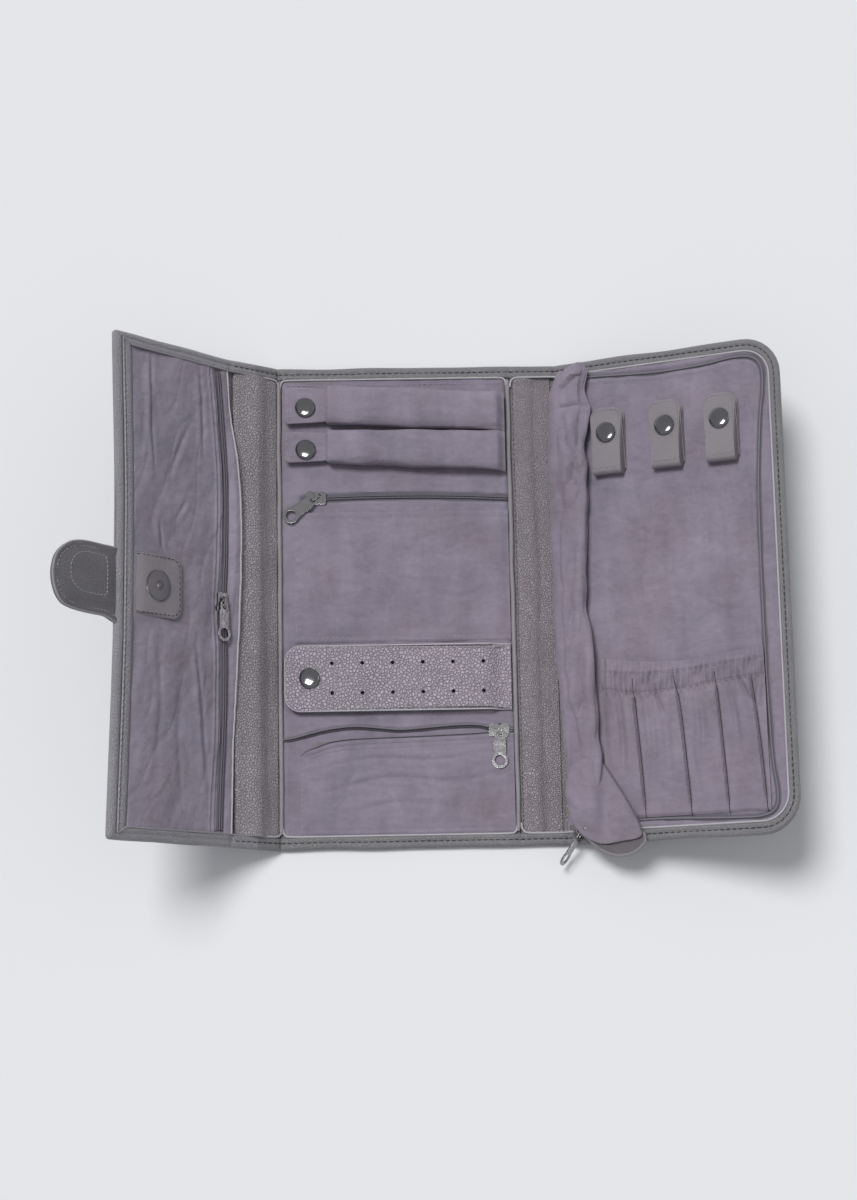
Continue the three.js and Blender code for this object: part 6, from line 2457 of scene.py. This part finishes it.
@dataclass
class RolledLid(Assembly):
    """The suede lid of the right panel, rolled up along its seam, with one corner loose."""

    low: float = 3.75
    tall: float = 8.6
    turns: float = 3.2
    thickness: float = 0.6
    bottom: float = -108.4
    top: float = 118.3
    tie: float = 95.3
    bend_u: Pair = (2.6, 9.0)
    fold_x: Pair = (77.6, 84.4)

    def build(self) -> None:
        """Makes the roll, the cloth beside its seam and the loose corner."""
        self.keep(self.roll())
        self.keep(self.seam_fold())
        self.build_corner()

    def roll(self) -> Any:
        """Winds the roll from its outer side inward and ties it near its upper end.

        Returns:
            The object.
        """
        y = np.linspace(self.bottom, self.top, 260)[:, None]
        wind = np.linspace(0, 1, 150)[None, :]
        turn = math.pi * 1.12 - wind * 2 * math.pi * self.turns
        left, right = along_line(ROLL_LEFT[:, ::-1], y), along_line(ROLL_RIGHT[:, ::-1], y)
        tight = 1 - 0.22 * bump(y - self.tie, 1.5) - 0.10 * smooth((y - self.tie) / 10)
        tight = tight * (0.35 + 0.65 * np.sqrt(np.clip((self.top - y) / 7, 0, 1)))
        tight = tight * (0.55 + 0.45 * np.sqrt(np.clip((y - self.bottom) / 6, 0, 1)))
        half = (right - left) / 2
        tall = self.tall / 2 * tight * (1 - 0.12 * smooth((-y - 70) / 40))
        girth = turn * 8.0
        puff = uneven(0.30 * y, girth, (0.55, 111, 15.0, 9, 90.0, 0.28))
        puff = puff + uneven(0.4 * y, girth, (0.30, 112, 6.5, 9, 90.0, 0.35))
        puff = puff + uneven(y, girth, (1.15, 117, 28.0, 9, 40.0, 0.5),
                             (0.50, 118, 13.0, 9, 50.0, 0.6))
        tied = 0.22 * smooth((y - 82) / 10) + 0.28 * smooth((-y - 92) / 10)
        puff = puff + tied * uneven(0.1 * y, girth, (1.0, 113, 3.2, 9, 90.0, 0.12))
        shrink = 1 - 0.72 * wind
        across = (left + right) / 2 + half * np.cos(turn)
        puff = puff + 2.0 * creased(across, y + 0 * turn, ROLL_CREASES) * smooth(3 * np.sin(turn))
        puff = puff * (0.25 + 0.75 * smooth((np.cos(turn) + 1) / 0.5))
        cos, sin = (np.sign(v) * np.abs(v) ** 0.92 for v in (np.cos(turn), np.sin(turn)))
        floor = 3.55 + 1.05 * smooth((y - 110.5) / 2.0)
        skins = []
        for skin in (0.0, self.thickness):
            grow = puff * shrink ** 2 - 0.2 - skin
            h = self.low + tall + (shrink * tall + grow) * sin
            skins.append(PANEL.at((left + right) / 2 + (shrink * half + grow) * cos, y + 0 * turn,
                                  np.maximum(h, floor + 0.1 * (skin > 0))))
        return closed_sheet("rolled_lid_suede", *skins, LID_SUEDE)

    def build_corner(self) -> None:
        """Makes the loose corner, the lip under it in dark leather that paints the shade there, its bound rim and its
        half of the chain.
        """
        corner = curved([(3.6, -90), (2.4, -95), (3.2, -100), (4.8, -107.4), (8.4, -113.6),
            (13.6, -118.4), (20, -120.6), (30, -119.6), (36, -118.8), (39.4, -116.6), (37.6, -111.0),
            (34.9, -105.3), (30.2, -97.0), (25.4, -89.5), (20.8, -82.0), (13, -80), (6.5, -83),
            (3.6, -90)], 1.5)[:-1]
        lip = curved([(13.8, -117.4), (20, -118.6), (30, -117.8), (38.6, -116.0), (40.0, -118.2),
            (39.9, -120.4), (38.6, -122.0), (35.2, -124.7), (31.1, -126.1), (26.1, -126.3),
            (21.8, -125.2), (17.8, -123.0), (14.6, -119.8), (13.8, -117.4)], 1.5)[:-1]
        for name, outline, low, high, finish in (
                ("lid_corner_suede", corner, -0.45, 0.45, LID_SUEDE),
                ("lid_corner_lip", lip, -2.1, -1.3, LIP)):
            self.keep(Plate(anticlockwise(outline), low, high, 0.3, 1.4, bend=self.draped).build(
                name, PANEL.at, finish))
        place = bent(PANEL.at, self.draped)
        rim = curved([(39.3, -115.8), (40.0, -118.2), (39.8, -120.4), (38.5, -122.0), (35.1, -124.6),
            (31.1, -126.0), (26.1, -126.2), (21.8, -125.1), (17.8, -122.9), (14.4, -119.6),
            (9.0, -114.4)], 1.0)
        edge = curved([(20.8, -82.2), (25.4, -89.6), (30.2, -97.2), (34.9, -105.5), (37.6, -111.2),
            (39.3, -115.8)], 1.0)
        self.keep(swept("lid_corner_rim", place, rim, -1.5, circle(0.8, 10, 0.85), TAB))
        self.keep(coil("lid_corner_chain", place, edge, 0.35, 0.55))

    def seam_fold(self) -> Any:
        """Makes the lid's cloth beside its seam, which bulges over the panel's fold.

        Returns:
            The object.
        """
        y = np.linspace(-104.5, 114.5, 220)[:, None]
        turn = np.radians(np.linspace(228, 32, 60))[None, :]
        left = along_line(SEAM_LEFT[:, ::-1], y)
        middle, half = (left + 9.0) / 2, (9.0 - left) / 2
        tight = 1 - 0.10 * bump(y - self.tie, 1.6)
        puff = uneven(y, turn * 6, (0.35, 119, 24.0, 9, 50.0, 0.6), (0.12, 120, 7.0))
        skins = []
        for skin in (0.0, self.thickness):
            reach = (half - skin + puff) * tight
            rise = (4.1 - skin + puff) * tight
            skins.append(PANEL.at(middle + reach * np.cos(turn), y + 0 * turn,
                                  6.1 + rise * np.sin(turn)))
        return closed_sheet("lid_seam_fold", *skins, LID_SUEDE)

    def draped(self, u: Array, y: Array, h: Array) -> Trio:
        """Lays the corner over the roll's end, down beside it and out to the loose tip.

        Args:
            u: Distances from the leaf's fold.
            y: Places along the folds.
            h: Heights.

        Returns:
            The same points on the draped cloth.
        """
        over = np.sqrt(np.clip(1 - ((u - 11.2) / 10.2) ** 2, 0, 1))
        roll = 6.6 + 6.0 * over
        beside = smooth((u - 16.5) / 5.5)
        level = roll * (1 - beside) + (5.9 + 1.2 * smooth((u - 24) / 12)) * beside
        tip = smooth((-y - 99) / 18)
        level = level * (1 - tip) + (7.0 + 3.4 * smooth((21 - u) / 8)) * tip
        folds = ((0.45, 115, 13.0, 8, 10.0, 0.5), (0.2, 116, 6.0, 8, 30.0, 0.5))
        return u, y, h + level + uneven(u, y, *folds)

    def dress(self) -> None:
        """Bends the lid at its seam and declares its cloth."""
        roll, seam_fold, corner, *trim = self.pieces.values()
        self.ride("lid", *list(self.pieces)[2:])
        start, end = (tuple(PANEL.at(u, 0.0, self.low)) for u in self.bend_u)
        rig.blend(roll, "right_panel", "lid", start=start, end=end)
        start, end = (tuple(strip(x, 0.0, FOLD_H)) for x in self.fold_x)
        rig.blend(seam_fold, "spine_2", "right_panel", start=start, end=end)
        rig.replaces(roll, "rolled_lid")
        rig.sheet(roll, flat=(0.090, 0.220), held="gathered", rests_on=["panel_suede"])
        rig.sheet(seam_fold, flat=(0.0175, 0.219), held="gathered", rests_on=["panel_suede"])
        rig.sheet(corner, flat=(0.037, 0.040), held="draped", rests_on=["rolled_lid_suede"],
                 area=0.00105, with_pieces=trim)


# What stays as the frame has it
KEPT = {
    "centre_board": BOARD, "flap_board": BOARD, "panel_board": BOARD,
    "magnet_receiver": NICKEL, "lid_zip_slider": NICKEL, "lid_zip_puller": NICKEL,
    "flap_zip_slider": NICKEL, "flap_zip_puller": NICKEL, "upper_zip_slider": NICKEL,
    "upper_zip_puller": NICKEL, "lower_zip_slider": NICKEL, "lower_zip_puller": NICKEL,
}


def finish_kept_nodes() -> None:
    """Gives each node that stays its finish."""
    for name, finish in KEPT.items():
        node = bpy.data.objects[name]
        for slot in node.material_slots:
            slot.link = "OBJECT"
            slot.material = finish.material()
        LOG.info("%s: kept in %s", name, finish.name)


@dataclass
class Studio:
    """The camera that took the photograph, a pale floor and soft light from the upper left."""

    place: Triple = (-2.915, -219.545, 1128.321)
    pan: float = 0.9455
    tilt: float = -11.1031
    roll: float = 1.1051
    lens: float = 70.19
    floor_half: float = 40.0

    def camera(self) -> None:
        """Sets the camera that the part was measured through."""
        turns = (Matrix.Rotation(math.radians(self.roll), 3, "Z")
                 @ Matrix.Rotation(math.radians(self.tilt), 3, "X")
                 @ Matrix.Rotation(math.radians(self.pan), 3, "Y"))
        data = bpy.data.cameras.new("camera")
        data.sensor_fit = "VERTICAL"
        data.sensor_height = 36.0
        data.lens = self.lens
        camera = bpy.data.objects.new("camera", data)
        camera.matrix_world = turns.transposed().to_4x4()
        camera.location = Vector(self.place) * MM
        bpy.context.scene.collection.objects.link(camera)
        bpy.context.scene.camera = camera

    def light(self, kind: str, name: str, power: float, place: Triple,
              **settings: float) -> Any:
        """Adds one light that points at the clutch.

        Args:
            kind: The light's type.
            name: Its name.
            power: Its energy.
            place: Where it stands, in metres.
            **settings: Size or angle.

        Returns:
            The light.
        """
        data = bpy.data.lights.new(name, kind)
        data.energy = power
        for key, value in settings.items():
            setattr(data, key, value)
        light = bpy.data.objects.new(name, data)
        light.location = place
        light.rotation_euler = (-Vector(place)).to_track_quat("-Z", "Y").to_euler()
        light.visible_camera = False
        bpy.context.scene.collection.objects.link(light)
        return light

    def build(self) -> None:
        """Builds camera, world, lights and floor."""
        self.camera()
        world = bpy.data.worlds.new("studio")
        world.use_nodes = True
        back = world.node_tree.nodes["Background"]
        back.inputs["Color"].default_value = (0.86, 0.87, 0.90, 1.0)
        back.inputs["Strength"].default_value = 0.43
        bpy.context.scene.world = world
        sun = self.light("SUN", "window", 2.15, (-0.40, 0.50, 1.10), angle=math.radians(22))
        sun.visible_glossy = False
        for name, power, place, size in (("softbox", 6.8, (-0.12, -0.22, 1.10), 0.46),
                                         ("right_strip", 1.5, (1.20, 0.20, 0.25), 0.6)):
            self.light("AREA", name, power, place, size=size).visible_diffuse = False
        half = self.floor_half
        mesh = bpy.data.meshes.new("floor")
        mesh.from_pydata([(-half, -half, 0), (half, -half, 0), (half, half, 0), (-half, half, 0)],
                         [], [(0, 1, 2, 3)])
        floor = bpy.data.objects.new("floor", mesh)
        bpy.context.scene.collection.objects.link(floor)
        shader = Shader("floor_paper")
        floor.data.materials.append(shader.finish(
            Base_Color=shader.mixed(shader.noise(3, 2), (0.80, 0.81, 0.83), (0.82, 0.83, 0.85)),
            Roughness=0.95))
        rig.stage(floor)
        bpy.context.scene.view_settings.view_transform = "Standard"


def assemblies() -> list[Assembly]:
    """Lists the sub-assemblies in the order they are built.

    Returns:
        The sub-assemblies.
    """
    groups: list[Assembly] = [
        Shell(), Spine(),
        Spine(2, 58.0, 20.2, 12.0, 113.8, ((7.0, 4.6, 0.6),), 0.2, 1.0),
        Piping(), CentreLining(), Pocket(creases=UPPER_CREASES),
        Pocket("lower", -48.0, 55.6, -113.4, -66.0, LOWER_SEAM, LOWER_CREASES), CentreZips(),
        FlapLining(),
        MagnetClosure(), PanelLining(),
        RingBar(), RingBar(2, (70.2, 86.9), (65.1, 85.5)), EarringStrap(), Snap(),
        Snap("ring_bar_snap_cap_1", "ring_bar_snap_stud_1", "ring_bar_1", CENTRE, -43.8, 98.5),
        Snap("ring_bar_snap_cap_2", "ring_bar_snap_stud_2", "ring_bar_2", CENTRE, -43.8, 77.0),
    ]
    for number, u in enumerate((28.6, 58.5, 86.0), 1):
        groups.append(NecklaceTab(number, u))
        groups.append(Snap(f"necklace_snap_cap_{number}", f"necklace_snap_stud_{number}",
                           f"necklace_tab_{number}", PANEL, u, 80.3, 5.2))
    return groups + [ElasticPocket(), RolledLid()]


def box_lists(box: Any) -> list[list[float]]:
    """Returns a box's two corners as plain lists."""
    return [[float(part) for part in corner] for corner in box]


def main() -> None:
    """Builds the studio and every sub-assembly, and notes both boxes."""
    logging.basicConfig(level=logging.INFO, format="%(name)s %(message)s")
    Studio().build()
    finish_kept_nodes()
    for group in assemblies():
        group.make()
    sizes = {"cad": box_lists(CAD_BOX), "dressed": box_lists(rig.bounds())}
    with open("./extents.json", "w", encoding="utf-8") as file:
        json.dump(sizes, file)


if __name__ == "__main__":
    main()
